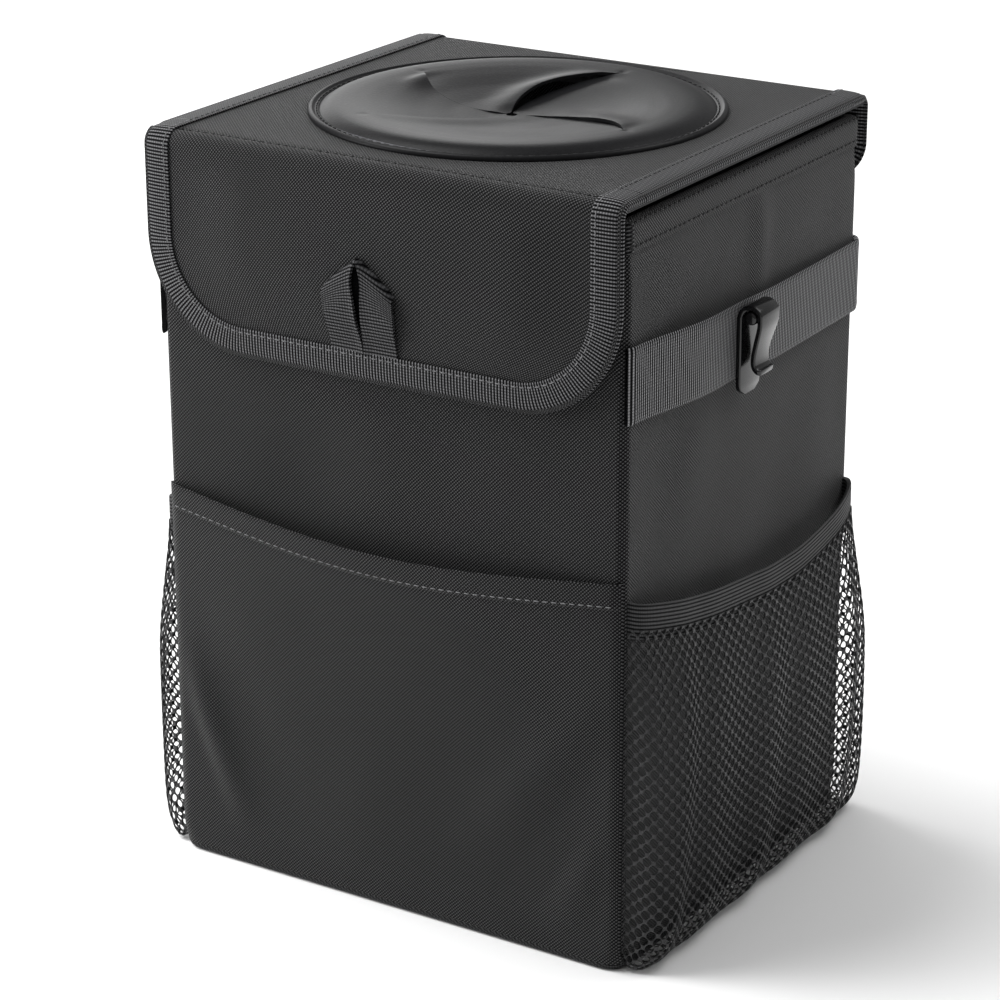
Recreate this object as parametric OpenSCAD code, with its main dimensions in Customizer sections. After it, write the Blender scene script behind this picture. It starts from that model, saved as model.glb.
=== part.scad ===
// Soft-sided car trash bin: stiffened cloth body, hinged lid with a slit
// leather opening, front flap, storage pockets, side strap and bag clips.
// Millimetres. +Z is up, the front faces -Y, and z = 0 is the floor.

/* [Body] */
// Width of the body across the front
body_w = 200; // [180:1:220]
// Depth of the body from front to back
body_d = 176; // [160:1:200]
// Height of the body up to its rim
body_h = 290; // [260:1:320]
// Outer radius of the body's upright corners
corner_r = 5; // [4:0.5:10]
// Thickness of the outer cloth
cloth_t = 1; // [0.6:0.1:1.6]
// Thickness of the stiffener boards
board_t = 2; // [1.5:0.1:3]
// Thickness of the waterproof lining
liner_t = 0.8; // [0.5:0.1:1.2]
// Depth of the band that finishes the rim
rim_band_h = 14; // [10:1:20]
// Height of the binding round the base
base_binding_h = 4; // [3:0.5:8]

/* [Lid] */
// How far the lid stands out past each side of the body
lid_side_overhang = 2; // [1.5:0.1:4]
// How far the lid stands out past the front and back
lid_end_overhang = 3.6; // [3.4:0.1:5]
// Thickness of the lid's stiffener board
lid_board_t = 2.4; // [1.8:0.1:3]
// Width of the edge binding
binding_w = 12; // [8:0.5:14]
// Thickness of one layer of binding
binding_t = 0.7; // [0.5:0.1:0.9]

/* [Opening] */
// Outer radius of the leather ring on the lid
ring_r = 81; // [72:0.5:84]
// Width of the leather ring
ring_w = 7; // [6:0.5:9]
// Height of the leather ring above the cloth
ring_h = 3.2; // [2.4:0.1:4]
// Width of the padded roll inside the ring
padding_w = 12.5; // [10:0.5:15]
// Height of the padded roll
padding_h = 3; // [2:0.1:4]
// Thickness of the leather
leather_t = 1.4; // [1:0.1:1.8]
// Width of the slits between the leather petals
slit_w = 0.8; // [0.6:0.1:1.2]

/* [Front flap] */
// How far the flap hangs below the lid
flap_drop = 83; // [70:1:100]
// Radius of the flap's lower corners
flap_corner_r = 45; // [30:1:60]
// Thickness of the flap's stiffener board
flap_board_t = 1.6; // [1:0.1:2]
// Width of the pull tab
tab_w = 28; // [22:1:36]
// Height of the pull tab
tab_h = 35; // [28:1:45]
// Thickness of the folded webbing of the pull tab
tab_t = 2.4; // [1.6:0.1:3]

/* [Back flap] */
// How far the back flap hangs below the lid
back_flap_drop = 35; // [32:1:50]
// Radius of the back flap's lower corners
back_flap_corner_r = 16; // [8:1:22]

/* [Front pocket] */
// Height of the front pocket's mouth at its ends
pocket_h = 155; // [120:1:170]
// How far the mouth sags in the middle
pocket_sag = 7; // [3:0.5:10]
// How far the mouth stands out in the middle
pocket_gape = 8; // [7:0.5:10]
// Width of the pocket's hem
hem_w = 10; // [8:0.5:14]

/* [Mesh pockets] */
// Height of the mesh pocket's mouth at its front end
mesh_front_h = 147; // [120:1:160]
// Height of the mesh pocket's mouth at its back end
mesh_back_h = 141; // [115:1:150]
// How far the mouth sags in the middle
mesh_sag = 12; // [4:0.5:14]
// How far the mesh bulges out from the side
mesh_bulge = 18; // [14:0.5:22]
// How far the elastic mouth stands out from the side
mouth_bulge = 9.5; // [8:0.5:12]
// Width of the elastic band
elastic_w = 12; // [9:0.5:16]
// Number of gathers along the mesh
gathers = 9; // [6:1:10]

/* [Strap and clips] */
// Height of the strap's lower edge
strap_z = 210; // [195:1:215]
// Width of the strap webbing
strap_w = 30; // [25:1:35]
// Thickness of the strap webbing
strap_t = 1.8; // [1.2:0.1:2.4]
// How far the strap stands off in front of the clip
strap_slack = 3.2; // [2:0.1:3.6]
// Width of the bag clips
clip_w = 16; // [12:0.5:20]
// Height of the bag clips
clip_h = 40; // [34:1:46]
// How far a bag clip stands out from the strap
clip_proud = 12; // [11:0.5:15]

/* [Hidden] */

// Smoothness of round pieces
$fn = 64;
// Overrun of every cut
cut = 1;
// Gap between pieces that turn against each other
joint_gap = 0.3;
// Gap between sewn layers whose curved faces meet
sewn_gap = 0.1;

// Layers through the wall, from the outside in
wall_t = cloth_t + board_t + liner_t;
// Thickness of the cloth of the pockets
pocket_t = 1.2;
// Thickness of the mesh with its folds
mesh_t = 1;
// Thickness of the elastic band
elastic_t = 1.8;
// Thickness of the band round the rim
rim_t = 1;
// Thickness of the lining cloth of lid and flap
lining_t = 0.6;
// Thickness of the hem at the pocket's mouth
hem_t = 1.8;
// Stand-off of the strap where it crosses the back
strap_back_stand = 1;

// Levels of the lid, from the rim up
lid_rest_gap = 0.5;
lid_z = body_h + lid_rest_gap + binding_t;
lid_board_z = lid_z + lining_t;
lid_cloth_z = lid_board_z + lid_board_t;
lid_top_z = lid_cloth_z + cloth_t;
lid_w = body_w + 2 * lid_side_overhang;

// Thickness of the flap and its layers, from the body outwards
flap_t = lining_t + flap_board_t + cloth_t;
flap_edge_t = 0.8;
back_flap_t = 1.4;

// Front and back reach of the whole part, which put the origin at its middle
front_reach = body_d / 2 + max(lid_end_overhang + flap_t + binding_t + tab_t, pocket_gape + hem_t);
back_reach = body_d / 2 + max(lid_end_overhang + back_flap_t + binding_t, strap_back_stand + strap_t);
mid_y = (front_reach - back_reach) / 2;
front_y = mid_y - body_d / 2;
back_y = mid_y + body_d / 2;
// Hinge lines of the front flap and of the lid
crease_y = front_y - lid_end_overhang;
lid_hinge_y = back_y + lid_end_overhang;

// Rounded rectangle from straight strips and four true corner circles
module rounded_rect(w, d, r) {
    square([w - 2 * r, d], center = true);
    square([w, d - 2 * r], center = true);
    for (sx = [-1, 1], sy = [-1, 1])
        translate([sx * (w / 2 - r), sy * (d / 2 - r)])
            circle(r);
}

// Outline of the body at a depth below its outer face
inner_corner_r = 0.5;
module body_outline(inset) {
    translate([0, mid_y])
        rounded_rect(body_w - 2 * inset, body_d - 2 * inset, max(corner_r - inset, inner_corner_r));
}

// A ring that follows the body between two depths
module body_ring(outer, inner, z0, z1) {
    translate([0, 0, z0])
        linear_extrude(z1 - z0)
            difference() {
                body_outline(outer);
                body_outline(inner);
            }
}

// Wedge that keeps the part of the shell on one side, mitred at the corners
module side_wedge(half_across, half_out) {
    polygon([
        [-half_across - cut, -half_out - cut],
        [half_across + cut, -half_out - cut],
        [half_across - corner_r - cut, -half_out + corner_r + cut],
        [-half_across + corner_r + cut, -half_out + corner_r + cut]
    ]);
}

module wall_cloth(half_across, half_out, turn) {
    color([0.10, 0.10, 0.11])
        translate([0, 0, cloth_t])
            linear_extrude(body_h - cloth_t - rim_t)
                intersection() {
                    difference() {
                        body_outline(0);
                        body_outline(cloth_t);
                    }
                    translate([0, mid_y])
                        rotate(turn)
                            side_wedge(half_across, half_out);
                }
}

module front_panel() { wall_cloth(body_w / 2, body_d / 2, 0); }
module right_side_panel() { wall_cloth(body_d / 2, body_w / 2, 90); }
module back_panel() { wall_cloth(body_w / 2, body_d / 2, 180); }
module left_side_panel() { wall_cloth(body_d / 2, body_w / 2, 270); }

module base_panel() {
    color([0.08, 0.08, 0.09])
        linear_extrude(cloth_t)
            body_outline(0);
}

// A flat stiffener between cloth and lining, with its corners rounded off
board_corner_r = 4;
module wall_board(across, out, turn) {
    board_w = across - 2 * corner_r;
    board_h = body_h - cloth_t - rim_t - 2 * joint_gap;
    color([0.25, 0.25, 0.27])
        translate([0, mid_y])
            rotate(turn)
                translate([0, -out / 2 + cloth_t + board_t, cloth_t + joint_gap + board_h / 2])
                    rotate([90, 0, 0])
                        linear_extrude(board_t)
                            rounded_rect(board_w, board_h, board_corner_r);
}

module front_board() { wall_board(body_w, body_d, 0); }
module right_board() { wall_board(body_d, body_w, 90); }
module back_board() { wall_board(body_w, body_d, 180); }
module left_board() { wall_board(body_d, body_w, 270); }

module base_board() {
    color([0.25, 0.25, 0.27])
        translate([0, 0, cloth_t])
            linear_extrude(board_t)
                body_outline(cloth_t + board_t + joint_gap);
}

// One-piece waterproof tub inside the boards
module inner_liner() {
    floor_z = cloth_t + board_t;
    color([0.16, 0.16, 0.17])
        difference() {
            translate([0, 0, floor_z])
                linear_extrude(body_h - rim_t - floor_z)
                    body_outline(cloth_t + board_t);
            translate([0, 0, floor_z + liner_t])
                linear_extrude(body_h)
                    body_outline(wall_t);
        }
}

// Band folded over the rim, outside, over the top and inside
module rim_band() {
    color([0.07, 0.07, 0.08]) {
        body_ring(-rim_t, 0, body_h - rim_band_h, body_h - rim_t);
        body_ring(-rim_t, wall_t + rim_t, body_h - rim_t, body_h);
        body_ring(wall_t, wall_t + rim_t, body_h - rim_band_h, body_h - rim_t);
    }
}

// Binding round the base, over the lower edges of the pockets
module base_binding() {
    inner_w = body_w + 2 * pocket_t;
    inner_d = body_d + pocket_t;
    color([0.07, 0.07, 0.08])
        translate([0, mid_y - pocket_t / 2])
            linear_extrude(base_binding_h)
                difference() {
                    rounded_rect(inner_w + 2 * binding_t, inner_d + 2 * binding_t, corner_r + binding_t);
                    rounded_rect(inner_w, inner_d, corner_r);
                }
}

// Closed sheet between an outer and an inner grid of points
module sheet(outer, inner) {
    nv = len(outer) - 1;
    nu = len(outer[0]) - 1;
    row = nu + 1;
    half = (nv + 1) * row;
    points = concat(
        [for (v = [0:nv], u = [0:nu]) outer[v][u]],
        [for (v = [0:nv], u = [0:nu]) inner[v][u]]
    );
    outer_faces = [
        for (v = [0:nv - 1], u = [0:nu - 1])
            let (a = v * row + u, b = a + 1, c = b + row, d = a + row)
                each [[a, c, b], [a, d, c]]
    ];
    inner_faces = [
        for (v = [0:nv - 1], u = [0:nu - 1])
            let (a = half + v * row + u, b = a + 1, c = b + row, d = a + row)
                each [[a, b, c], [a, c, d]]
    ];
    level_edges = [
        for (u = [0:nu - 1])
            let (a = u, b = u + 1, c = nv * row + u, d = c + 1)
                each [
                    [a, b, half + b], [a, half + b, half + a],
                    [c, half + d, d], [c, half + c, half + d]
                ]
    ];
    upright_edges = [
        for (v = [0:nv - 1])
            let (a = v * row, b = a + row, c = a + nu, d = b + nu)
                each [
                    [a, half + b, b], [a, half + a, half + b],
                    [c, d, half + d], [c, half + d, half + c]
                ]
    ];
    polyhedron(points, concat(outer_faces, inner_faces, level_edges, upright_edges));
}

// Front pocket: a cloth panel sewn down at the sides and base, gaping at its mouth
pocket_columns = 20;
pocket_rows = 8;
pocket_side_inset = 1;
pocket_base_z = 0.6;
pocket_half_w = body_w / 2 - corner_r / 2 - pocket_side_inset;
function pocket_x(u) = pocket_half_w * (2 * u - 1);
function pocket_top(u) = pocket_h - pocket_sag * pow(sin(180 * u), 1.2);
pocket_foot_z = base_binding_h + sewn_gap;
function pocket_stand(u, z) =
    let (rise = max(z - pocket_foot_z, 0) / (pocket_top(u) - pocket_foot_z))
        pocket_gape * pow(sin(180 * u), 0.9) * pow(rise, 1.6);
// Row 0 is the sewn lower edge, behind the base binding; row 1 is where the cloth comes free
function pocket_row_z(u, row) =
    row == 0
        ? pocket_base_z
        : pocket_foot_z + (pocket_top(u) - hem_w - pocket_foot_z) * (row - 1) / (pocket_rows - 1);
function pocket_point(u, z, out) = [pocket_x(u), front_y - pocket_stand(u, z) - out, z];

module front_pocket() {
    outer = [for (v = [0:pocket_rows]) [for (i = [0:pocket_columns])
        let (u = i / pocket_columns) pocket_point(u, pocket_row_z(u, v), pocket_t)]];
    inner = [for (v = [0:pocket_rows]) [for (i = [0:pocket_columns])
        let (u = i / pocket_columns) pocket_point(u, pocket_row_z(u, v), 0)]];
    color([0.11, 0.11, 0.12])
        sheet(outer, inner);
}

// Doubled hem along the pocket's mouth
hem_rows = 2;
function hem_row_z(u, row) =
    pocket_top(u) - (hem_w - sewn_gap) * (1 - row / hem_rows);

module front_pocket_hem() {
    outer = [for (v = [0:hem_rows]) [for (i = [0:pocket_columns])
        let (u = i / pocket_columns) pocket_point(u, hem_row_z(u, v), hem_t)]];
    inner = [for (v = [0:hem_rows]) [for (i = [0:pocket_columns])
        let (u = i / pocket_columns) pocket_point(u, hem_row_z(u, v), 0)]];
    color([0.09, 0.09, 0.10])
        sheet(outer, inner);
}

// Mesh pocket on the right side, a puffed and gathered sheet; the left one is its mirror.
// It comes out of the base seam over the binding, rounds outwards and rises to its mouth.
mesh_columns = 4 * gathers;
mesh_foot_rows = 3;
mesh_wall_rows = 5;
mesh_rows = mesh_foot_rows + mesh_wall_rows;
mesh_seam_z = base_binding_h + sewn_gap;
mesh_seam_stand = 1.2;
mesh_foot_r = 9;
gather_depth = 1.1;
mesh_half_d = body_d / 2 - corner_r / 2;
// Fullness of the plan curve: lower is squarer
plan_power_share = 0.45;
function plan_angle(u) = 180 * u;
function plan_y(u, half_d) =
    let (c = -cos(plan_angle(u)))
        mid_y + half_d * sign(c) * pow(abs(c), plan_power_share);
function plan_share(u) = pow(max(sin(plan_angle(u)), 0), plan_power_share);
function mouth_z(u) = mesh_front_h + (mesh_back_h - mesh_front_h) * u - mesh_sag * sin(180 * u);
function gather_wave(u) = -cos(360 * gathers * u) * sin(180 * u);
// Bulge of the mesh at a share of the height between its foot and its mouth
function wall_bulge(s) = mesh_bulge + (mouth_bulge - mesh_bulge) * s * s * (3 - 2 * s);

// Point of row v of the mesh, moved into the pocket by shrink
function mesh_point(u, v, shrink) =
    let (
        foot = min(v / mesh_foot_rows, 1),
        rise = max(v - mesh_foot_rows, 0) / mesh_wall_rows,
        top_z = mouth_z(u) - elastic_w - sewn_gap,
        foot_z = mesh_seam_z + mesh_foot_r,
        bulge = foot < 1
            ? mesh_seam_stand + (mesh_bulge - mesh_seam_stand) * sin(90 * foot)
            : wall_bulge(rise),
        z = foot < 1
            ? mesh_seam_z + mesh_foot_r * (1 - cos(90 * foot))
            : foot_z + (top_z - foot_z) * rise,
        fold = gather_depth * gather_wave(u) * min(rise * 2, 1, (1 - rise) * 2),
        lift = shrink * (1 - sin(90 * foot))
    )
        [
            body_w / 2 + plan_share(u) * (max(bulge - shrink, shrink / 2) + fold),
            plan_y(u, mesh_half_d - shrink),
            z + lift
        ];

module mesh_pocket() {
    outer = [for (v = [0:mesh_rows]) [for (u = [0:mesh_columns]) mesh_point(u / mesh_columns, v, 0)]];
    inner = [for (v = [0:mesh_rows]) [for (u = [0:mesh_columns]) mesh_point(u / mesh_columns, v, mesh_t)]];
    color([0.13, 0.13, 0.14])
        sheet(outer, inner);
}

module right_mesh_pocket() { mesh_pocket(); }
module left_mesh_pocket() { mirror([1, 0, 0]) mesh_pocket(); }

// Elastic band along the mesh pocket's mouth
elastic_rows = 1;
function elastic_point(u, v, shrink) = [
    body_w / 2 + plan_share(u) * (mouth_bulge - shrink),
    plan_y(u, mesh_half_d - shrink),
    mouth_z(u) - elastic_w + elastic_w * v / elastic_rows
];

module pocket_elastic() {
    outer = [for (v = [0:elastic_rows]) [for (u = [0:mesh_columns]) elastic_point(u / mesh_columns, v, 0)]];
    inner = [for (v = [0:elastic_rows]) [for (u = [0:mesh_columns])
        elastic_point(u / mesh_columns, v, elastic_t)]];
    color([0.06, 0.06, 0.07])
        sheet(outer, inner);
}

module right_pocket_elastic() { pocket_elastic(); }
module left_pocket_elastic() { mirror([1, 0, 0]) pocket_elastic(); }

// Strap: one length of webbing from front seam to front seam round the back
strap_steps = 16;
strap_seam_gap = 0.2;
strap_front_y = front_y + corner_r;
strap_turn_r = corner_r + strap_back_stand;
clip_y = mid_y - 0.04 * body_d;
// Stand-off of the strap's inner face along the side, as a share of the way back
function strap_stand(s) =
    strap_seam_gap
    + (strap_back_stand - strap_seam_gap) * s
    + (strap_slack - strap_back_stand) * sin(180 * s);
function strap_side_y(s) = strap_front_y + (back_y - corner_r - strap_front_y) * s;
function strap_side(out) = [
    for (i = [0:strap_steps])
        let (s = i / strap_steps)
            [body_w / 2 + strap_stand(s) + out, strap_side_y(s)]
];
function strap_turn(out) = [
    for (a = [15:15:90])
        [
            body_w / 2 - corner_r + (strap_turn_r + out) * cos(a),
            back_y - corner_r + (strap_turn_r + out) * sin(a)
        ]
];
function strap_half(out) = concat(strap_side(out), strap_turn(out));
function mirrored(points) = [for (i = [len(points) - 1:-1:0]) [-points[i][0], points[i][1]]];

module side_strap() {
    outer = concat(strap_half(strap_t), mirrored(strap_half(strap_t)));
    inner = concat(strap_half(0), mirrored(strap_half(0)));
    reverse_inner = [for (i = [len(inner) - 1:-1:0]) inner[i]];
    color([0.09, 0.09, 0.10])
        translate([0, 0, strap_z])
            linear_extrude(strap_w)
                polygon(concat(outer, reverse_inner));
}

// Bag clip: one spring moulding, a back plate, a rolled top and a tongue with a flared lip
clip_t = 2;
clip_plate_r = 0.22 * clip_w;
clip_over = 1;
clip_z = strap_z + strap_w + clip_over - clip_h;
clip_s = (clip_y - strap_side_y(0)) / (strap_side_y(1) - strap_side_y(0));
clip_x = body_w / 2 + strap_stand(clip_s) + strap_t + joint_gap;
clip_mid_r = clip_proud / 2 - clip_t;
// Bends of the tongue below the roll: out in roll radii, up in clip heights
clip_tongue_shares = [[1.78, 0.66], [1.38, 0.5], [1.25, 0.4], [1.55, 0.3], [2.5, 0.2]];
function arc(cx, cy, r, from, to, steps) =
    [for (i = [0:steps]) let (a = from + (to - from) * i / steps) [cx + r * cos(a), cy + r * sin(a)]];

// Middle line of the clip's section, out from the strap and up
function clip_line() = concat(
    [[clip_t / 2, 0]],
    arc(clip_t / 2 + clip_mid_r, clip_h - clip_mid_r - clip_t / 2, clip_mid_r, 180, 15, 9),
    [for (p = clip_tongue_shares) [clip_t / 2 + clip_mid_r * p[0], clip_h * p[1]]]
);

// Direction of a line of points at point i, and its outline at an even thickness
function line_turn(line, i) =
    let (
        a = line[max(i - 1, 0)],
        b = line[min(i + 1, len(line) - 1)]
    )
        (b - a) / norm(b - a);
function line_side(line, off) = [
    for (i = [0:len(line) - 1])
        let (t = line_turn(line, i))
            line[i] + off * [-t[1], t[0]]
];

module ribbon(line, thickness) {
    left = line_side(line, thickness / 2);
    right = line_side(line, -thickness / 2);
    polygon(concat(left, [for (i = [len(right) - 1:-1:0]) right[i]]));
}

module clip() {
    color([0.03, 0.03, 0.035])
        intersection() {
            translate([clip_x, clip_y + clip_w / 2, clip_z])
                rotate([90, 0, 0])
                    linear_extrude(clip_w)
                        ribbon(clip_line(), clip_t);
            translate([clip_x - clip_t, clip_y, clip_z + clip_h / 2 - clip_t / 2])
                rotate([90, 0, 90])
                    linear_extrude(clip_proud + 2 * clip_t)
                        rounded_rect(clip_w, clip_h + clip_t, clip_plate_r);
        }
}

module right_clip() { clip(); }
module left_clip() { mirror([1, 0, 0]) clip(); }

// Hook-and-loop patches that hold the front flap down and the back flap to the bin
patch_w = 0.3 * body_w;
patch_h = 0.22 * flap_drop;
patch_z = lid_top_z - 0.62 * flap_drop - patch_h / 2;
patch_t = (lid_end_overhang - joint_gap) / 2;
module patch(w, h, z, y, t) {
    color([0.05, 0.05, 0.06])
        translate([-w / 2, y, z])
            cube([w, t, h]);
}

module front_loop_patch() { patch(patch_w, patch_h, patch_z, front_y - patch_t, patch_t); }
module flap_hook_patch() { patch(patch_w, patch_h, patch_z, crease_y, patch_t); }

// The back pair lies on the rim band, above the flap's lower binding
back_patch_margin = 1.5;
back_patch_w = 0.7 * body_w;
back_patch_z = back_patch_margin
    + max(body_h - rim_band_h, lid_top_z - back_flap_drop + binding_w);
back_patch_h = body_h - back_patch_margin - back_patch_z;
back_patch_t = (lid_end_overhang - rim_t) / 2;
module back_loop_patch() { patch(back_patch_w, back_patch_h, back_patch_z, back_y + rim_t, back_patch_t); }
module back_hook_patch() {
    patch(back_patch_w, back_patch_h, back_patch_z, back_y + rim_t + back_patch_t, back_patch_t);
}

// Outline of a hanging flap: straight at the top, rounded below, drawn at an inset
module flap_outline(w, drop, r, inset, top) {
    inner_r = r - inset;
    half_w = w / 2 - inset;
    intersection() {
        translate([0, inset])
            rounded_rect(2 * half_w, 2 * drop, inner_r);
        translate([-w, -2 * drop])
            square([2 * w, 2 * drop - top]);
    }
}

// A layer of a flap from y0 outwards by t
module front_flap_layer(y0, t, inset, top) {
    translate([0, crease_y - y0, lid_top_z])
        rotate([90, 0, 0])
            linear_extrude(t)
                flap_outline(lid_w, flap_drop, flap_corner_r, inset, top);
}

module flap_lining() {
    color([0.12, 0.12, 0.13])
        front_flap_layer(0, lining_t, flap_edge_t, joint_gap);
}

module flap_board() {
    color([0.25, 0.25, 0.27])
        front_flap_layer(lining_t, flap_board_t, flap_edge_t + binding_t, joint_gap + binding_t);
}

module flap_panel() {
    color([0.11, 0.11, 0.12])
        front_flap_layer(lining_t + flap_board_t, cloth_t, flap_edge_t, joint_gap);
}

// U-shaped binding round the sides and lower edge of the flap
lid_drop_clear = lid_top_z - lid_z + binding_t + joint_gap;
module flap_binding() {
    color([0.07, 0.07, 0.08]) {
        difference() {
            front_flap_layer(flap_t, binding_t, 0, joint_gap);
            front_flap_layer(flap_t - cut, binding_t + 2 * cut, binding_w, -cut);
        }
        difference() {
            front_flap_layer(0, flap_t, 0, joint_gap);
            front_flap_layer(-cut, flap_t + 2 * cut, flap_edge_t, -cut);
        }
        difference() {
            front_flap_layer(-binding_t, binding_t, 0, lid_drop_clear);
            front_flap_layer(-binding_t - cut, binding_t + 2 * cut, binding_w, -cut);
        }
    }
}

// Pull tab: webbing folded to a point, with a narrow slot between its legs
tab_x = -0.035 * body_w;
tab_z = lid_top_z - flap_drop + binding_w;
tab_point_h = 0.34 * tab_h;
tab_slot_w = 0.09 * tab_w;
module pull_tab() {
    color([0.08, 0.08, 0.09])
        translate([tab_x, crease_y - flap_t - binding_t, tab_z])
            rotate([90, 0, 0])
                linear_extrude(tab_t)
                    difference() {
                        polygon([
                            [-tab_w / 2, -binding_w / 2],
                            [tab_w / 2, -binding_w / 2],
                            [tab_w / 2, tab_h - tab_point_h],
                            [0, tab_h],
                            [-tab_w / 2, tab_h - tab_point_h]
                        ]);
                        polygon([
                            [-tab_slot_w / 4, 0],
                            [tab_slot_w / 4, 0],
                            [tab_slot_w / 2, tab_h - 1.2 * tab_point_h],
                            [0, tab_h - 0.9 * tab_point_h],
                            [-tab_slot_w / 2, tab_h - 1.2 * tab_point_h]
                        ]);
                    }
}

// Back flap, sewn to the lid at the hinge line and fastened to the back
module back_flap_layer(y0, t, inset, top) {
    translate([0, lid_hinge_y + y0 + t, lid_top_z])
        rotate([90, 0, 0])
            linear_extrude(t)
                flap_outline(lid_w, back_flap_drop, back_flap_corner_r, inset, top);
}

module back_flap_panel() {
    color([0.11, 0.11, 0.12])
        back_flap_layer(0, back_flap_t, flap_edge_t, joint_gap);
}

module back_flap_binding() {
    color([0.07, 0.07, 0.08]) {
        difference() {
            back_flap_layer(back_flap_t, binding_t, 0, joint_gap);
            back_flap_layer(back_flap_t - cut, binding_t + 2 * cut, binding_w, -cut);
        }
        difference() {
            back_flap_layer(0, back_flap_t, 0, joint_gap);
            back_flap_layer(-cut, back_flap_t + 2 * cut, flap_edge_t, -cut);
        }
        difference() {
            back_flap_layer(-binding_t, binding_t, 0, lid_drop_clear);
            back_flap_layer(-binding_t - cut, binding_t + 2 * cut, binding_w, -cut);
        }
    }
}

// Radii of the opening, from the ring inwards
ring_inner_r = ring_r - ring_w;
collar_edge_r = ring_r - ring_w / 4;
padding_outer_r = ring_inner_r - sewn_gap;
padding_mid_r = padding_outer_r - padding_w / 2;
hole_r = padding_outer_r - padding_w;
collar_step_r = hole_r - joint_gap;
petal_r = collar_step_r - leather_t - sewn_gap;
petal_z = lid_board_z;

// A flat layer of the lid with its round hole
module lid_layer(z, t, inset, hole) {
    lid_front = crease_y + joint_gap + inset;
    lid_back = lid_hinge_y - joint_gap - inset;
    translate([0, 0, z])
        linear_extrude(t)
            difference() {
                translate([-lid_w / 2 + flap_edge_t + inset, lid_front])
                    square([lid_w - 2 * flap_edge_t - 2 * inset, lid_back - lid_front]);
                translate([0, mid_y])
                    circle(hole);
            }
}

module lid_lining() {
    color([0.12, 0.12, 0.13])
        lid_layer(lid_z, lining_t, 0, hole_r);
}

module lid_board() {
    color([0.25, 0.25, 0.27])
        lid_layer(lid_board_z, lid_board_t, binding_t, hole_r);
}

module lid_top_panel() {
    color([0.11, 0.11, 0.12])
        lid_layer(lid_cloth_z, cloth_t, 0, ring_inner_r);
}

// U-shaped binding along the right edge of the lid; the left one is its mirror
lid_binding_end_gap = 1.5;
module lid_binding() {
    y0 = crease_y + lid_binding_end_gap;
    run = lid_hinge_y - lid_binding_end_gap - y0;
    core = lid_top_z - lid_z;
    color([0.07, 0.07, 0.08])
        difference() {
            translate([lid_w / 2 - binding_w, y0, lid_z - binding_t])
                cube([binding_w, run, core + 2 * binding_t]);
            translate([lid_w / 2 - binding_w - cut, y0 - cut, lid_z])
                cube([binding_w + cut - flap_edge_t, run + 2 * cut, core]);
        }
}

module right_lid_binding() { lid_binding(); }
module left_lid_binding() { mirror([1, 0, 0]) lid_binding(); }

// Half ellipse over the lid, as section points from its outer to its inner foot
arch_steps = 10;
function arch(mid_r, half_w, height, z0) = [
    for (i = [0:arch_steps])
        let (a = 180 * i / arch_steps)
            [mid_r + half_w * cos(a), z0 + height * sin(a)]
];

// Soft foam roll under the leather
module opening_padding() {
    color([0.3, 0.3, 0.32])
        translate([0, mid_y])
            rotate_extrude()
                polygon(arch(padding_mid_r, padding_w / 2, padding_h, lid_cloth_z));
}

// Leather ring sewn round the opening, over the edge of the collar
ring_mid_r = ring_r - ring_w / 2;
module opening_ring() {
    ring_z = lid_top_z;
    color([0.05, 0.05, 0.055])
        translate([0, mid_y])
            rotate_extrude()
                difference() {
                    polygon(arch(ring_mid_r, ring_w / 2, ring_h, ring_z));
                    polygon([
                        [ring_inner_r - cut, ring_z - cut],
                        [collar_edge_r + sewn_gap, ring_z - cut],
                        [collar_edge_r + sewn_gap, ring_z + leather_t + sewn_gap],
                        [ring_inner_r - cut, ring_z + leather_t + sewn_gap]
                    ]);
                }
}

// Ends of the slits round the opening, as angles from +X, and the point where they meet
slit_angles = [80, 160, 226, 342];
meet = [-0.05 * petal_r, 0];
slit_end_gap = 1;
// The petals' corners at the slit ends are cut off at this radius
petal_corner_cut = 6;
petal_edge_r = petal_r - petal_corner_cut;
slit_end_r = petal_r - slit_end_gap;
// How far each slit bows to one side, as a share of its radius
slit_swirl_shares = [0.17, 0.17, 0.1, 0.17];
slit_steps = 8;
function slit_end(k) = slit_end_r * [cos(slit_angles[k]), sin(slit_angles[k])];
function slit_side(k) = let (run = slit_end(k) - meet) [-run[1], run[0]] / norm(run);
// Points of slit k from the middle outwards, moved sideways by off
function slit(k, off) = [
    for (i = [0:slit_steps])
        let (s = i / slit_steps, bow = slit_swirl_shares[k] * petal_r * 4 * s * (1 - s))
            meet + (slit_end(k) - meet) * s + slit_side(k) * (bow + off)
];

// Hinge chord of the petal between slits k and j, moved towards the middle by inset
function chord_normal(k, j) = let (run = slit_end(j) - slit_end(k)) [run[1], -run[0]] / norm(run);

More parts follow.
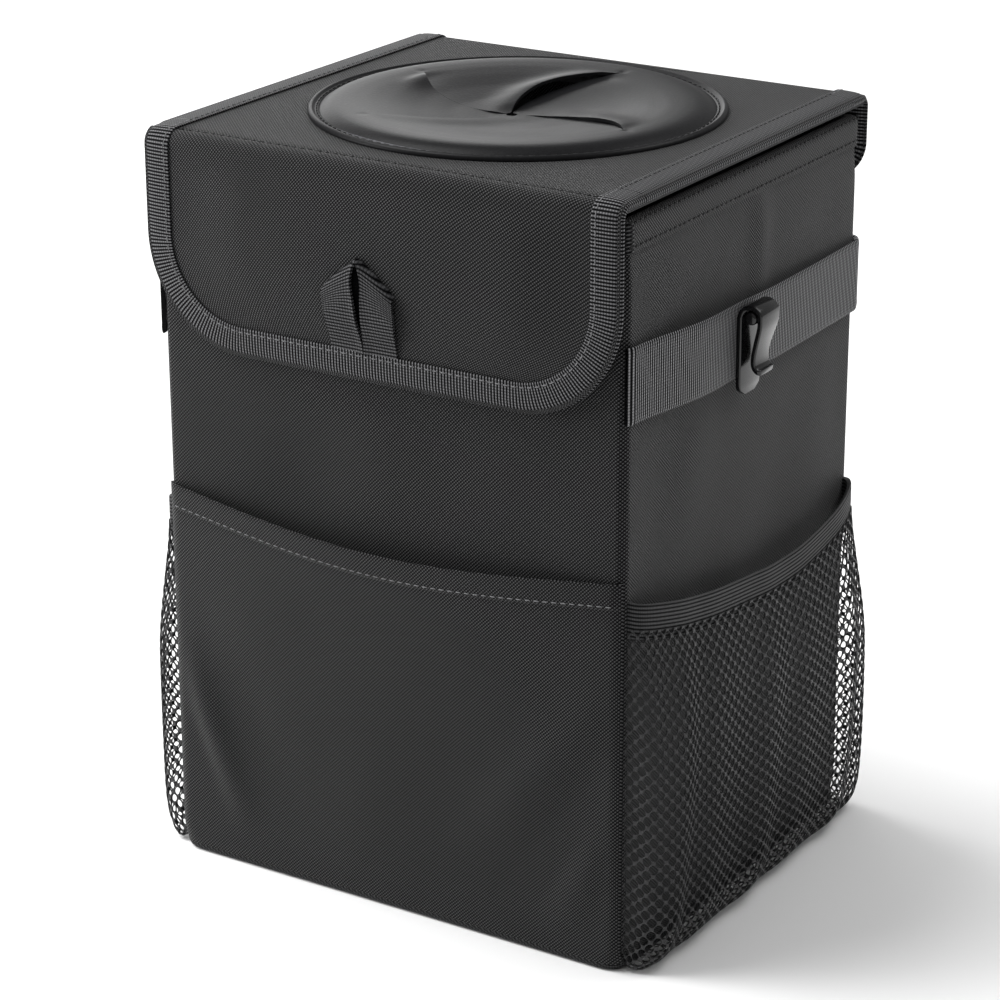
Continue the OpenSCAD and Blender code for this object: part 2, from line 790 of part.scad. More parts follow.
// Collar: the leather that stays with the lid, from the ring in to the petals' hinge lines
module opening_collar() {
    half_in = padding_w / 2 + sewn_gap;
    under = arch(padding_mid_r, half_in, padding_h + sewn_gap, lid_cloth_z);
    over = arch(padding_mid_r, half_in + leather_t, padding_h + leather_t, lid_cloth_z);
    color([0.06, 0.06, 0.065])
        translate([0, mid_y])
            difference() {
                rotate_extrude()
                    union() {
                        difference() {
                            polygon(over);
                            polygon(concat(
                                under,
                                [[padding_mid_r - half_in, lid_cloth_z - cut]],
                                [[padding_mid_r + half_in, lid_cloth_z - cut]]
                            ));
                            translate([padding_outer_r + sewn_gap, lid_cloth_z - cut])
                                square([ring_w, cloth_t + cut]);
                        }
                        translate([padding_outer_r + sewn_gap, lid_top_z])
                            square([collar_edge_r - padding_outer_r - sewn_gap, leather_t]);
                        translate([collar_step_r - leather_t, petal_z])
                            square([leather_t, lid_cloth_z - petal_z + sewn_gap]);
                        translate([0, petal_z])
                            square([collar_step_r - sewn_gap, leather_t]);
                    }
                translate([0, 0, petal_z - cut])
                    linear_extrude(leather_t + 2 * cut)
                        intersection() {
                            polygon([for (k = [0:3]) slit_end(k)]);
                            circle(petal_edge_r + joint_gap);
                        }
            }
}

// A leather petal between slits k and j, hinged on the chord between their ends
module petal(k, j) {
    side_a = slit(k, slit_w / 2);
    side_b = slit(j, -slit_w / 2);
    outline = concat(side_a, [for (i = [slit_steps:-1:0]) side_b[i]]);
    tip_clear_r = 1.6 * slit_w;
    n = chord_normal(k, j);
    reach = 2 * ring_r;
    chord_a = slit_end(k) - n * joint_gap;
    chord_b = slit_end(j) - n * joint_gap;
    along = (chord_b - chord_a) / norm(chord_b - chord_a);
    color([0.06, 0.06, 0.065])
        translate([0, mid_y, petal_z])
            linear_extrude(leather_t)
                intersection() {
                    difference() {
                        polygon(outline);
                        translate(meet)
                            circle(tip_clear_r);
                    }
                    polygon([
                        chord_a - along * reach,
                        chord_b + along * reach,
                        chord_b + along * reach - n * reach,
                        chord_a - along * reach - n * reach
                    ]);
                    circle(petal_edge_r);
                }
}

module back_left_petal() { petal(0, 1); }
module left_petal() { petal(1, 2); }
module front_petal() { petal(2, 3); }
module back_right_petal() { petal(3, 0); }

front_panel();
back_panel();
left_side_panel();
right_side_panel();
base_panel();
front_board();
back_board();
left_board();
right_board();
base_board();
inner_liner();
rim_band();
base_binding();
front_pocket();
front_pocket_hem();
left_mesh_pocket();
right_mesh_pocket();
left_pocket_elastic();
right_pocket_elastic();
side_strap();
left_clip();
right_clip();
front_loop_patch();
back_loop_patch();
back_hook_patch();
back_flap_panel();
back_flap_binding();
lid_top_panel();
lid_board();
lid_lining();
left_lid_binding();
right_lid_binding();
opening_ring();
opening_padding();
opening_collar();
flap_panel();
flap_board();
flap_lining();
flap_binding();
flap_hook_patch();
pull_tab();
back_right_petal();
back_left_petal();
left_petal();
front_petal();
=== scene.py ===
"""Looks of a soft-sided car trash bin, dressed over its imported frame.

Sizes are in millimetres in the frame's own axes (front faces -Y, z = 0 is the
floor) and turn to metres only where a mesh, a light or a frame call is made.
"""

from __future__ import annotations

import logging
import math
from dataclasses import dataclass, field
from enum import Enum
from typing import Any, Iterable, Optional, Sequence

import bmesh
import bpy
import numpy as np
from mathutils import Matrix, Vector


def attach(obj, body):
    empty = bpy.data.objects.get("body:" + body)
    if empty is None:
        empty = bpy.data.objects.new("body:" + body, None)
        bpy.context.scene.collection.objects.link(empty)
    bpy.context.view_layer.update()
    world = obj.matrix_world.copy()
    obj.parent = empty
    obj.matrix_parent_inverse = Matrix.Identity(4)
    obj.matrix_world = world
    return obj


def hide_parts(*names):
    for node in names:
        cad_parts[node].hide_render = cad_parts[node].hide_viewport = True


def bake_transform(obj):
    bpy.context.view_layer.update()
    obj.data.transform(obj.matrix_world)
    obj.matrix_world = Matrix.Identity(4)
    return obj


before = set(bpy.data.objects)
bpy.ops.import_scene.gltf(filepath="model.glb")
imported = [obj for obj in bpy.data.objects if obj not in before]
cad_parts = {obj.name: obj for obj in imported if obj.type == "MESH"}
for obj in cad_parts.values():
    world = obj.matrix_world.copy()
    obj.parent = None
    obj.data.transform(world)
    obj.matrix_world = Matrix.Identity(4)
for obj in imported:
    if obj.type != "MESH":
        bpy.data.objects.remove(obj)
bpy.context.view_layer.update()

MM = 0.001
Array = np.ndarray
Piece = bpy.types.Object
Tree = bpy.types.NodeTree
Socket = bpy.types.NodeSocket
log = logging.getLogger("car_bin")


class Coordinates(Enum):
    """Where a pattern takes its place from: a piece's unwrapping, or its solid."""

    UNWRAPPED = "UV"
    SOLID = "Object"


class Side(Enum):
    """The two sides of the bin, as the sign of X."""

    RIGHT = 1
    LEFT = -1

    @property
    def word(self) -> str:
        """Name used in the pieces of this side."""
        return self.name.lower()


# ---------------------------------------------------------------- shared sizes


@dataclass(frozen=True)
class BinSizes:
    """Main sizes of the frame that several sub-assemblies share."""

    half_w: float = 100.0
    half_d: float = 88.0
    mid_y: float = 2.1
    corner_r: float = 3.0
    # How far the body's cloth stands out, and how far cloth ends inside a taped edge
    cloth_out: float = 0.8
    inset: float = 0.8
    lid_half_w: float = 102.0
    lid_z: float = 291.2
    lid_top_z: float = 295.2
    crease_y: float = -89.5
    hinge_y: float = 93.7
    # Where the lid's side tapes meet the tapes of the two flaps
    front_split: float = -76.0
    back_split: float = 82.0

    @property
    def front_y(self) -> float:
        """Front face of the body."""
        return self.mid_y - self.half_d

    @property
    def back_y(self) -> float:
        """Back face of the body."""
        return self.mid_y + self.half_d

    @property
    def lid_t(self) -> float:
        """Thickness of the lid."""
        return self.lid_top_z - self.lid_z

    @property
    def cloth_half_w(self) -> float:
        """Half width of the cloth of the lid and of its flaps."""
        return self.lid_half_w - self.inset


BIN = BinSizes()
TAPE_W, TAPE_T = 12.0, 0.7
# Middle of the round opening, seen from above
OPENING_X, OPENING_Y = 0.4, 4.4

# ------------------------------------------------------------- number helpers


def ease(share: Any) -> Any:
    """Smooth step from 0 to 1, for a share or an array of shares."""
    share = np.clip(share, 0.0, 1.0)
    return share * share * (3.0 - 2.0 * share)


def bump(distance: Any, width: float) -> Any:
    """Bell of height 1 over a distance, with the given half width."""
    return np.exp(-np.square(np.asarray(distance) / width))


def lengths(path: Array) -> Array:
    """Distance along a path at each of its points."""
    steps = np.linalg.norm(np.diff(path, axis=0), axis=1)
    return np.concatenate([[0.0], np.cumsum(steps)])


def line(start: Sequence[float], end: Sequence[float], count: int) -> Array:
    """Points from start up to, but without, end."""
    return np.linspace(start, end, count, endpoint=False)


def arc(centre: Sequence[float], radius: float, first: float, last: float, count: int) -> Array:
    """Points of a flat arc from first up to, but without, last, in degrees."""
    turn = np.radians(np.linspace(first, last, count, endpoint=False))
    return np.stack([centre[0] + radius * np.cos(turn), centre[1] + radius * np.sin(turn)], 1)


def xyz(x: Any, y: Any, z: Any) -> Array:
    """Points from their coordinates, each a number or an array."""
    return np.stack(np.broadcast_arrays(x, y, z), -1)


def outward(path: Array) -> Array:
    """Unit normals of a flat path, to the right of its run."""
    way = np.gradient(path, axis=0)
    way = np.stack([way[:, 1], -way[:, 0]], 1)
    return way / np.linalg.norm(way, axis=1, keepdims=True)


def resample(path: Array, spacing: float) -> tuple[Array, Array]:
    """Even points along a path.

    Args:
        path: Points of the path.
        spacing: Wanted distance between points.

    Returns:
        The even points, and the unit tangent at each.
    """
    run = lengths(path)
    count = max(2, int(round(run[-1] / spacing)) + 1)
    at = np.linspace(0.0, run[-1], count)
    even = np.stack([np.interp(at, run, path[:, k]) for k in range(path.shape[1])], 1)
    tangent = np.gradient(even, axis=0)
    return even, tangent / np.linalg.norm(tangent, axis=1, keepdims=True)


def smooth_curve(knots: Sequence[Sequence[float]], count: int) -> Array:
    """Smooth curve through knots (Catmull-Rom), at this many points."""
    k = np.array(knots, float)
    k = np.concatenate([2 * k[:1] - k[1:2], k, 2 * k[-1:] - k[-2:-1]])
    at = np.linspace(0.0, len(k) - 3 - 1e-9, count)
    i = at.astype(int)
    t = (at - i)[:, None]
    a, b, c, d = k[i], k[i + 1], k[i + 2], k[i + 3]
    cubic = (3 * b - a - 3 * c + d) * t ** 3
    return 0.5 * (2 * b + (c - a) * t + (2 * a - 5 * b + 4 * c - d) * t ** 2 + cubic)


def body_loop(out: float = 0.0, corner: float = BIN.corner_r) -> Array:
    """Closed outline of the body seen from above, from the middle of the back.

    Args:
        out: Distance outside the body's outer face.
        corner: Radius of the upright corners at the outer face.

    Returns:
        Points (n, 2); the last repeats the first, and their number is always the same.
    """
    w = BIN.half_w + out
    back = BIN.half_d + out
    front = -BIN.half_d - out
    r = max(corner + out, 0.5)
    parts = [
        line((0, back), (-w + r, back), 25),
        arc((-w + r, back - r), r, 90, 180, 6),
        line((-w, back - r), (-w, front + r), 44),
        arc((-w + r, front + r), r, 180, 270, 6),
        line((-w + r, front), (w - r, front), 50),
        arc((w - r, front + r), r, 270, 360, 6),
        line((w, front + r), (w, back - r), 44),
        arc((w - r, back - r), r, 0, 90, 6),
        line((w - r, back), (0, back), 25),
        np.array([[0.0, back]]),
    ]
    return np.concatenate(parts) + [0.0, BIN.mid_y]


# --------------------------------------------------------------- mesh helpers


def mesh_piece(
    name: str,
    points: Array,
    faces: Iterable[Sequence[int]],
    uv: Optional[Array] = None,
    weld: bool = False,
    sharp_degrees: float = 50.0,
) -> Piece:
    """A mesh object from points in millimetres.

    Args:
        name: Name of the piece.
        points: Points (n, 3).
        faces: Corner indices of each face.
        uv: Unwrapping (n, 2) in millimetres, so that patterns keep their real scale.
        weld: Joins points that coincide, for skins that close on themselves.
        sharp_degrees: Edges sharper than this stay sharp.

    Returns:
        The object, linked to the scene.
    """
    mesh = bpy.data.meshes.new(name)
    mesh.from_pydata((points * MM).tolist(), [], [list(f) for f in faces])
    if uv is not None:
        layer = mesh.uv_layers.new(name="UVMap")
        corner = np.empty(len(mesh.loops), np.int32)
        mesh.loops.foreach_get("vertex_index", corner)
        layer.data.foreach_set("uv", (uv * MM)[corner].astype(np.float32).ravel())
    if weld:
        work = bmesh.new()
        work.from_mesh(mesh)
        bmesh.ops.remove_doubles(work, verts=work.verts, dist=1e-6)
        bmesh.ops.dissolve_degenerate(work, edges=work.edges, dist=1e-7)
        bmesh.ops.recalc_face_normals(work, faces=work.faces)
        work.to_mesh(mesh)
        work.free()
    mesh.polygons.foreach_set("use_smooth", [True] * len(mesh.polygons))
    mesh.set_sharp_from_angle(angle=math.radians(sharp_degrees))
    piece = bpy.data.objects.new(name, mesh)
    bpy.context.scene.collection.objects.link(piece)
    return piece


def grid_quads(rows: int, columns: int, first: int = 0, flip: bool = False) -> Array:
    """Quads of a grid of points, facing along (column step) x (row step)."""
    v, u = np.meshgrid(np.arange(rows - 1), np.arange(columns - 1), indexing="ij")
    a = first + v * columns + u
    quads = np.stack([a, a + 1, a + 1 + columns, a + columns], -1).reshape(-1, 4)
    return quads[:, ::-1] if flip else quads


def grid_normals(grid: Array, closed: bool = False) -> Array:
    """Unit normals of a grid (rows, columns, 3), along (column step) x (row step)."""
    across = np.gradient(grid, axis=1)
    if closed:
        across[:, 0] = across[:, -1] = grid[:, 1] - grid[:, -2]
    normal = np.cross(across, np.gradient(grid, axis=0))
    return normal / np.maximum(np.linalg.norm(normal, axis=2, keepdims=True), 1e-9)


def grid_unwrap(grid: Array) -> Array:
    """Unwrapping in millimetres from the run along the middle row and up each column."""
    middle = grid[len(grid) // 2]
    along = np.broadcast_to(lengths(middle), grid.shape[:2])
    rise = np.linalg.norm(np.diff(grid, axis=0), axis=2)
    up = np.concatenate([np.zeros((1, grid.shape[1])), np.cumsum(rise, axis=0)])
    return np.stack([along, up], -1)


def thin_sheet(
    name: str,
    grid: Array,
    thickness: float,
    closed: bool = False,
    uv: Optional[Array] = None,
    inward: float = 1.0,
) -> Piece:
    """A closed thin sheet whose outer face is the grid.

    Args:
        name: Name of the piece.
        grid: Points (rows, columns, 3) of the outer face.
        thickness: Thickness of the material.
        closed: The last column repeats the first, and the sheet is a ring.
        uv: Unwrapping (rows, columns, 2), or None for distances along the grid.
        inward: 1 puts the inner face against the grid's normals, -1 along them.

    Returns:
        The object.
    """
    rows, columns = grid.shape[:2]
    if closed:
        # The last columns are drawn to where the first one stands
        drawn = 12
        meeting = ease(np.linspace(0.0, 1.0, drawn))[None, :, None]
        grid = grid.copy()
        grid[:, -drawn:] += (grid[:, :1] - grid[:, -1:]) * meeting
    inner = grid - grid_normals(grid, closed) * thickness * inward
    flat = grid_unwrap(grid) if uv is None else uv
    half = rows * columns
    a = np.arange(columns - 1)
    top = a + (rows - 1) * columns
    faces = [
        grid_quads(rows, columns),
        grid_quads(rows, columns, half, flip=True),
        np.stack([a + 1, a, a + half, a + 1 + half], 1),
        np.stack([top, top + 1, top + 1 + half, top + half], 1),
    ]
    if not closed:
        r = np.arange(rows - 1) * columns
        e = r + columns - 1
        faces.append(np.stack([r, r + columns, r + columns + half, r + half], 1))
        faces.append(np.stack([e + columns, e, e + half, e + columns + half], 1))
    points = np.concatenate([grid.reshape(-1, 3), inner.reshape(-1, 3)])
    both = np.concatenate([flat.reshape(-1, 2), flat.reshape(-1, 2)])
    return mesh_piece(name, points, np.concatenate(faces), both, weld=True)


def closed_skin(name: str, grid: Array, ring: bool = True) -> Piece:
    """A solid skin round a section: rows go round it, columns along it.

    Args:
        name: Name of the piece.
        grid: Points (rows, columns, 3); the last row repeats the first.
        ring: The last column repeats the first; otherwise both ends get caps.

    Returns:
        The object.
    """
    rows, columns = grid.shape[:2]
    faces = [list(q) for q in grid_quads(rows, columns)]
    if not ring:
        faces.append([v * columns for v in range(rows - 1)][::-1])
        faces.append([v * columns + columns - 1 for v in range(rows - 1)])
    return mesh_piece(name, grid.reshape(-1, 3), faces, grid_unwrap(grid).reshape(-1, 2), weld=True)


def rounded_pad(name: str, outline: Array, z_low: float, z_high: float, bevel: float) -> Piece:
    """A flat plate over an outline in X and Y, with softened edges."""
    count = len(outline)
    points = np.concatenate([xyz(*outline.T, z) for z in (z_low, z_high)])
    ring = np.arange(count)
    after = (ring + 1) % count
    faces = [list(ring[::-1]), list(ring + count)]
    faces += [[a, b, b + count, a + count] for a, b in zip(ring, after)]
    piece = mesh_piece(name, points, faces, points[:, :2])
    soften = piece.modifiers.new("softened_edges", "BEVEL")
    soften.width = bevel * MM
    soften.segments = 3
    apply_modifiers(piece)
    return piece


def apply_modifiers(piece: Piece) -> None:
    """Makes the piece's modifiers part of its mesh."""
    bpy.context.view_layer.update()
    graph = bpy.context.evaluated_depsgraph_get()
    final = bpy.data.meshes.new_from_object(piece.evaluated_get(graph))
    piece.modifiers.clear()
    piece.data = final


def stitch_row(
    name: str, path: Array, normals: Any, pitch: float = 3.4, stitch: float = 2.5, radius: float = 0.3,
) -> Piece:
    """A row of separate stitches, each a small plump thread.

    Args:
        name: Name of the piece.
        path: Points (n, 3) that the row follows.
        normals: Unit normals of the cloth: one for all points, or one for each.
        pitch: Distance from stitch to stitch.
        stitch: Length of one stitch.
        radius: Thickness of the thread, as a radius.

    Returns:
        The object.
    """
    even, tangent = resample(path, pitch)
    run = lengths(path)
    at = np.linspace(0.0, run[-1], len(even))
    normals = np.broadcast_to(normals, path.shape)
    normal = np.stack([np.interp(at, run, normals[:, k]) for k in range(3)], 1)
    side = np.cross(normal, tangent)
    side /= np.maximum(np.linalg.norm(side, axis=1, keepdims=True), 1e-9)
    normal = np.cross(tangent, side)
    # A point at each end, a little sunk, and two rings of spokes between them
    spokes = 6
    ring = np.radians(np.arange(spokes) * 360.0 / spokes)
    local = [(-stitch / 2, 0.0, -radius * 0.6)]
    for x in (-stitch * 0.32, stitch * 0.32):
        local += [(x, radius * 0.9 * math.cos(a), radius * 0.9 * math.sin(a)) for a in ring]
    local.append((stitch / 2, 0.0, -radius * 0.6))
    local = np.array(local)
    pairs = [(1 + k, 1 + (k + 1) % spokes) for k in range(spokes)]
    last = 2 * spokes + 1
    faces = [(0, b, a) for a, b in pairs]
    faces += [(a, b, b + spokes, a + spokes) for a, b in pairs]
    faces += [(last, a + spokes, b + spokes) for a, b in pairs]
    placed = (
        even[:, None]
        + local[None, :, :1] * tangent[:, None]
        + local[None, :, 1:2] * side[:, None]
        + local[None, :, 2:] * normal[:, None]
    ).reshape(-1, 3)
    every = [tuple(i + n * len(local) for i in f) for n in range(len(even)) for f in faces]
    return mesh_piece(name, placed, every, sharp_degrees=80.0)


# ------------------------------------------------------------------- finishes


def linear(hex_colour: str) -> tuple[float, float, float, float]:
    """An sRGB hex value as Blender's linear colour."""
    channels = [int(hex_colour[i:i + 2], 16) / 255.0 for i in (1, 3, 5)]
    low = [c / 12.92 if c <= 0.04045 else ((c + 0.055) / 1.055) ** 2.4 for c in channels]
    return (low[0], low[1], low[2], 1.0)


def add_node(
    tree: Tree,
    kind: str,
    settings: Optional[dict[str, Any]] = None,
    links: Optional[dict[Any, Any]] = None,
) -> bpy.types.Node:
    """Adds a node with its settings and its inputs.

    Args:
        tree: Node tree of the material or world.
        kind: Blender's name of the node.
        settings: Properties to set.
        links: Inputs by name or number, each a socket to link or a value to set.

    Returns:
        The node.
    """
    node = tree.nodes.new(kind)
    for key, value in (settings or {}).items():
        setattr(node, key, value)
    for key, value in (links or {}).items():
        if isinstance(value, Socket):
            tree.links.new(value, node.inputs[key])
        else:
            node.inputs[key].default_value = value
    return node


def ridges(tree: Tree, place: Socket, pitch: float) -> Socket:
    """Rounded ridges from 0 to 1, a pitch in millimetres apart, along one coordinate."""
    turn = add_node(
        tree, "ShaderNodeMath", {"operation": "MULTIPLY"}, {0: place, 1: math.pi / (pitch * MM)},
    )
    wave = add_node(tree, "ShaderNodeMath", {"operation": "SINE"}, {0: turn.outputs[0]})
    return add_node(tree, "ShaderNodeMath", {"operation": "ABSOLUTE"}, {0: wave.outputs[0]}).outputs[0]


@dataclass(frozen=True)
class Finish:
    """What every finish of the bin has: its colours, gloss and relief."""

    name: str
    slot: str
    # crest is the colour of the tops of threads, ribs and grain, a painted highlight; valley is the hollows'
    # colour, painted shade, which the mottling also darkens towards
    crest: str
    valley: str
    roughness: float
    relief: float
    sheen: float = 0.0
    ior: float = 1.5
    mottle: float = 0.35
    mottle_size: float = 45.0
    shine: tuple[float, float] = (0.02, 0.5)
    narrow: float = 1.0
    place_from: Coordinates = Coordinates.UNWRAPPED

    def height(self, tree: Tree, place: Socket) -> Socket:
        """Relief of the surface from 0 to 1, from its coordinates in metres."""
        raise NotImplementedError

    def make(self) -> bpy.types.Material:
        """Builds the material: colour and bump from the relief, with soft mottling. The colour is painted
        light: a painted highlight on the relief's tops and painted shade in its hollows.
        """
        found = bpy.data.materials.get(self.name)
        if found is not None:
            return found
        material = bpy.data.materials.new(self.name)
        material.use_nodes = True
        tree = material.node_tree
        shader = tree.nodes["Principled BSDF"]
        places = add_node(tree, "ShaderNodeTexCoord")
        height = self.height(tree, places.outputs[self.place_from.value])
        # Only the tops of threads and grain catch the light, so they get the crest colour as a painted
        # highlight, and the hollows the valley colour as painted shade
        height_top = add_node(
            tree, "ShaderNodeMath", {"operation": "POWER", "use_clamp": True}, {0: height, 1: self.narrow},
        ).outputs[0]
        colour = add_node(
            tree, "ShaderNodeMix", {"data_type": "RGBA"},
            {0: height_top, 6: linear(self.valley), 7: linear(self.crest)},
        )
        clouds = add_node(
            tree, "ShaderNodeTexNoise", None,
            {"Vector": places.outputs["Object"], "Scale": 1.0 / (self.mottle_size * MM), "Detail": 3.0},
        )
        share = add_node(
            tree, "ShaderNodeMath", {"operation": "MULTIPLY"}, {0: clouds.outputs[0], 1: self.mottle},
        )
        mottled = add_node(
            tree, "ShaderNodeMix", {"data_type": "RGBA"},
            {0: share.outputs[0], 6: colour.outputs[2], 7: linear(self.valley)},
        )
        relief = add_node(
            tree, "ShaderNodeBump", None,
            {"Strength": 1.0, "Distance": self.relief * MM, "Height": height},
        )
        tree.links.new(mottled.outputs[2], shader.inputs["Base Color"])
        tree.links.new(relief.outputs["Normal"], shader.inputs["Normal"])
        # Light hardly reaches the bottom of the weave or grain
        shine = add_node(
            tree, "ShaderNodeMath", {"operation": "MULTIPLY_ADD", "use_clamp": True},
            {0: height_top, 1: self.shine[1] - self.shine[0], 2: self.shine[0]},
        )
        tree.links.new(shine.outputs[0], shader.inputs["Specular IOR Level"])
        shader.inputs["Roughness"].default_value = self.roughness
        shader.inputs["IOR"].default_value = self.ior
        shader.inputs["Sheen Weight"].default_value = self.sheen
        shader.inputs["Sheen Roughness"].default_value = 0.45
        return material

    def dress(self, piece: Piece) -> Piece:
        """Puts the finish on a piece, in place of what it has."""
        material = self.make()
        if piece.material_slots:
            for slot in piece.material_slots:
                slot.material = material
        else:
            piece.data.materials.append(material)
        return piece


@dataclass(frozen=True)
class WovenCloth(Finish):
    """Plain or twill weave: threads cross, so bumps stand in slanting rows."""

    thread: float = 1.4
    slant_share: float = 0.62

    def height(self, tree: Tree, place: Socket) -> Socket:
        """Two families of slanting ridges, the first stronger, as a twill shows."""
        if self.place_from is Coordinates.SOLID:
            # Without an unwrapping the weave is turned, so that it slants on every face
            place = add_node(
                tree, "ShaderNodeMapping", {"vector_type": "POINT"},
                {"Vector": place, "Rotation": (0.62, 0.62, 0.3)},
            ).outputs[0]
        axes = add_node(tree, "ShaderNodeSeparateXYZ", None, {0: place})
        families = []
        for operation in ("SUBTRACT", "ADD"):
            slanting = add_node(
                tree, "ShaderNodeMath", {"operation": operation},
                {0: axes.outputs[0], 1: axes.outputs[1]},
            )
            families.append(ridges(tree, slanting.outputs[0], self.thread))
        strong, weak = families
        first = add_node(
            tree, "ShaderNodeMath", {"operation": "MULTIPLY"}, {0: strong, 1: self.slant_share},
        )
        return add_node(
            tree, "ShaderNodeMath", {"operation": "MULTIPLY_ADD", "use_clamp": True},
            {0: weak, 1: 1.0 - self.slant_share, 2: first.outputs[0]},
        ).outputs[0]


@dataclass(frozen=True)
class RibbedWebbing(Finish):
    """Grosgrain, webbing or elastic: ribs across or along, broken by fine threads."""

    rib: float = 1.3
    thread: float = 0.9
    along: bool = False
    thread_share: float = 0.35

    def height(self, tree: Tree, place: Socket) -> Socket:
        """Strong ribs one way times weaker threads the other way."""
        axes = add_node(tree, "ShaderNodeSeparateXYZ", None, {0: place})
        rib_axis, thread_axis = (1, 0) if self.along else (0, 1)
        rib = ridges(tree, axes.outputs[rib_axis], self.rib)
        thread = ridges(tree, axes.outputs[thread_axis], self.thread)
        broken = add_node(
            tree, "ShaderNodeMath", {"operation": "MULTIPLY_ADD"},
            {0: thread, 1: self.thread_share, 2: 1.0 - self.thread_share},
        )
        return add_node(
            tree, "ShaderNodeMath", {"operation": "MULTIPLY", "use_clamp": True},
            {0: rib, 1: broken.outputs[0]},
        ).outputs[0]


@dataclass(frozen=True)
class Grained(Finish):
    """Leather, moulded plastic, board, foam or loops: a fine irregular grain."""

    grain: float = 0.8
    cells: bool = False

    def height(self, tree: Tree, place: Socket) -> Socket:
        """Noise, or rounded cells, of the grain's size."""
        scale = 1.0 / (self.grain * MM)
        if self.cells:
            return add_node(
                tree, "ShaderNodeTexVoronoi", {"feature": "SMOOTH_F1"}, {"Vector": place, "Scale": scale},
            ).outputs["Distance"]
        return add_node(
            tree, "ShaderNodeTexNoise", None, {"Vector": place, "Scale": scale, "Detail": 4.0},
        ).outputs[0]


# 600D oxford polyester: coarse matt weave; its threads are about 0.6 mm apart, and
# its slanting rows of crossings are drawn 1.4 mm apart so that they show in the render
# Its light crests are a painted highlight and its near-black hollows painted shade
OXFORD = WovenCloth(
    "oxford_polyester_woven", "oxford_cloth", "#4d4d4e", "#020203", 0.6, 0.4, sheen=0.13, narrow=6.0,
)
# The same cloth under the base and in the binding round it, calmer, and painted darker: painted shade at the
# foot of the bin
OXFORD_SOLID = WovenCloth(
    "oxford_polyester_base", "oxford_cloth", "#2c2c2d", "#050506", 0.66, 0.12,
    sheen=0.02, narrow=2.0, place_from=Coordinates.SOLID,
)
# Polyester grosgrain tape: even cross ribs, 1.3 mm apart, with a painted highlight on each narrow crest and
# painted shade between them
GROSGRAIN = RibbedWebbing(
    "polyester_grosgrain_woven", "binding_webbing", "#767678", "#020203", 0.5, 0.4,
    thread=1.1, thread_share=0.25, mottle=0.2, narrow=4.2,
)
# Polypropylene webbing: thick ribs that catch the light, with a painted highlight on their crests and painted
# shade between them
WEBBING = RibbedWebbing(
    "polypropylene_webbing_woven", "strap_webbing", "#929294", "#020203", 0.42, 0.5,
    thread=1.1, thread_share=0.15, mottle=0.25, narrow=5.0,
)
# The pull tab's narrower webbing: dark, with a painted highlight on its ribs and painted shade between them
TAB_WEBBING = RibbedWebbing(
    "polypropylene_tab_woven", "strap_webbing", "#48484a", "#020203", 0.45, 0.35,
    sheen=0.02, rib=1.35, thread=1.2, thread_share=0.3, mottle=0.15, narrow=2.4,
)
# Knitted elastic: ribs along the band
ELASTIC = RibbedWebbing(
    "knitted_elastic_ribbed", "elastic_band", "#363637", "#050506", 0.6, 0.35,
    sheen=0.03, narrow=1.8, rib=1.5, thread=0.8, along=True, thread_share=0.25,
)
# Knitted polyester net: smooth dull yarn
NET_YARN = Grained(
    "polyester_net_knitted", "hex_mesh", "#3a3a3b", "#060607", 0.42, 0.1,
    sheen=0.04, grain=0.7, mottle=0.1,
)
# Soft PU leather: satin, with a fine even grain
LEATHER = Grained(
    "pu_leather_embossed", "pu_leather", "#161618", "#101011", 0.4, 0.03,
    grain=0.9, cells=True, mottle=0.25, mottle_size=30.0, shine=(0.08, 0.11), place_from=Coordinates.SOLID,
)
# Acetal: black and glossy from a polished mould
CLIP_PLASTIC = Grained(
    "acetal_moulded_gloss", "clip_plastic", "#0d0d0e", "#08080a", 0.17, 0.006,
    grain=1.5, mottle=0.05, ior=1.48, shine=(0.45, 0.5), place_from=Coordinates.SOLID,
)
# Polyethylene-coated lining: smooth, slightly shiny, with soft dents
COATED_LINING = Grained(
    "coated_polyester_lining", "waterproof_lining", "#303133", "#1c1d1f", 0.34, 0.12,
    grain=7.0, mottle=0.3, shine=(0.4, 0.5), place_from=Coordinates.SOLID,
)
# Lining cloth under the lid and behind the flap
LINING_CLOTH = WovenCloth(
    "lining_polyester_woven", "waterproof_lining", "#2a2a2c", "#08080a", 0.6, 0.08,
    sheen=0.03, narrow=2.0, thread=0.9, place_from=Coordinates.SOLID,
)
# Extruded polypropylene board: smooth, with faint flow marks
BOARD = Grained(
    "polypropylene_board_extruded", "stiffener_board", "#4a4a4d", "#343437", 0.55, 0.05,
    grain=2.0, place_from=Coordinates.SOLID,
)
# Hook and loop: a nap of fine nylon loops
NAP = Grained(
    "nylon_loop_napped", "hook_and_loop", "#2b2b2d", "#08080a", 0.8, 0.5,
    sheen=0.3, grain=0.7, cells=True, place_from=Coordinates.SOLID,
)
# Polyurethane foam: open cells
FOAM = Grained(
    "polyurethane_foam_open", "foam", "#6a6a6d", "#3a3a3d", 0.9, 0.3,
    grain=1.2, cells=True, place_from=Coordinates.SOLID,
)
# Bonded nylon sewing thread where it catches the light, painted lighter than the cloth under it as a painted
# highlight: pocket hem and flap tapes
THREAD = Grained(
    "nylon_thread_bonded_lit", "binding_webbing", "#868688", "#3a3a3b", 0.5, 0.02,
    grain=0.5, mottle=0.1, place_from=Coordinates.SOLID,
)
# The same thread sunk in leather, elastic, rim, crease and lid tapes: nearly black, a painted shade
SHADED_THREAD = Grained(
    "nylon_thread_shaded", "pu_leather", "#101011", "#080809", 0.55, 0.02,
    grain=0.5, shine=(0.1, 0.3), mottle=0.1, place_from=Coordinates.SOLID,
)
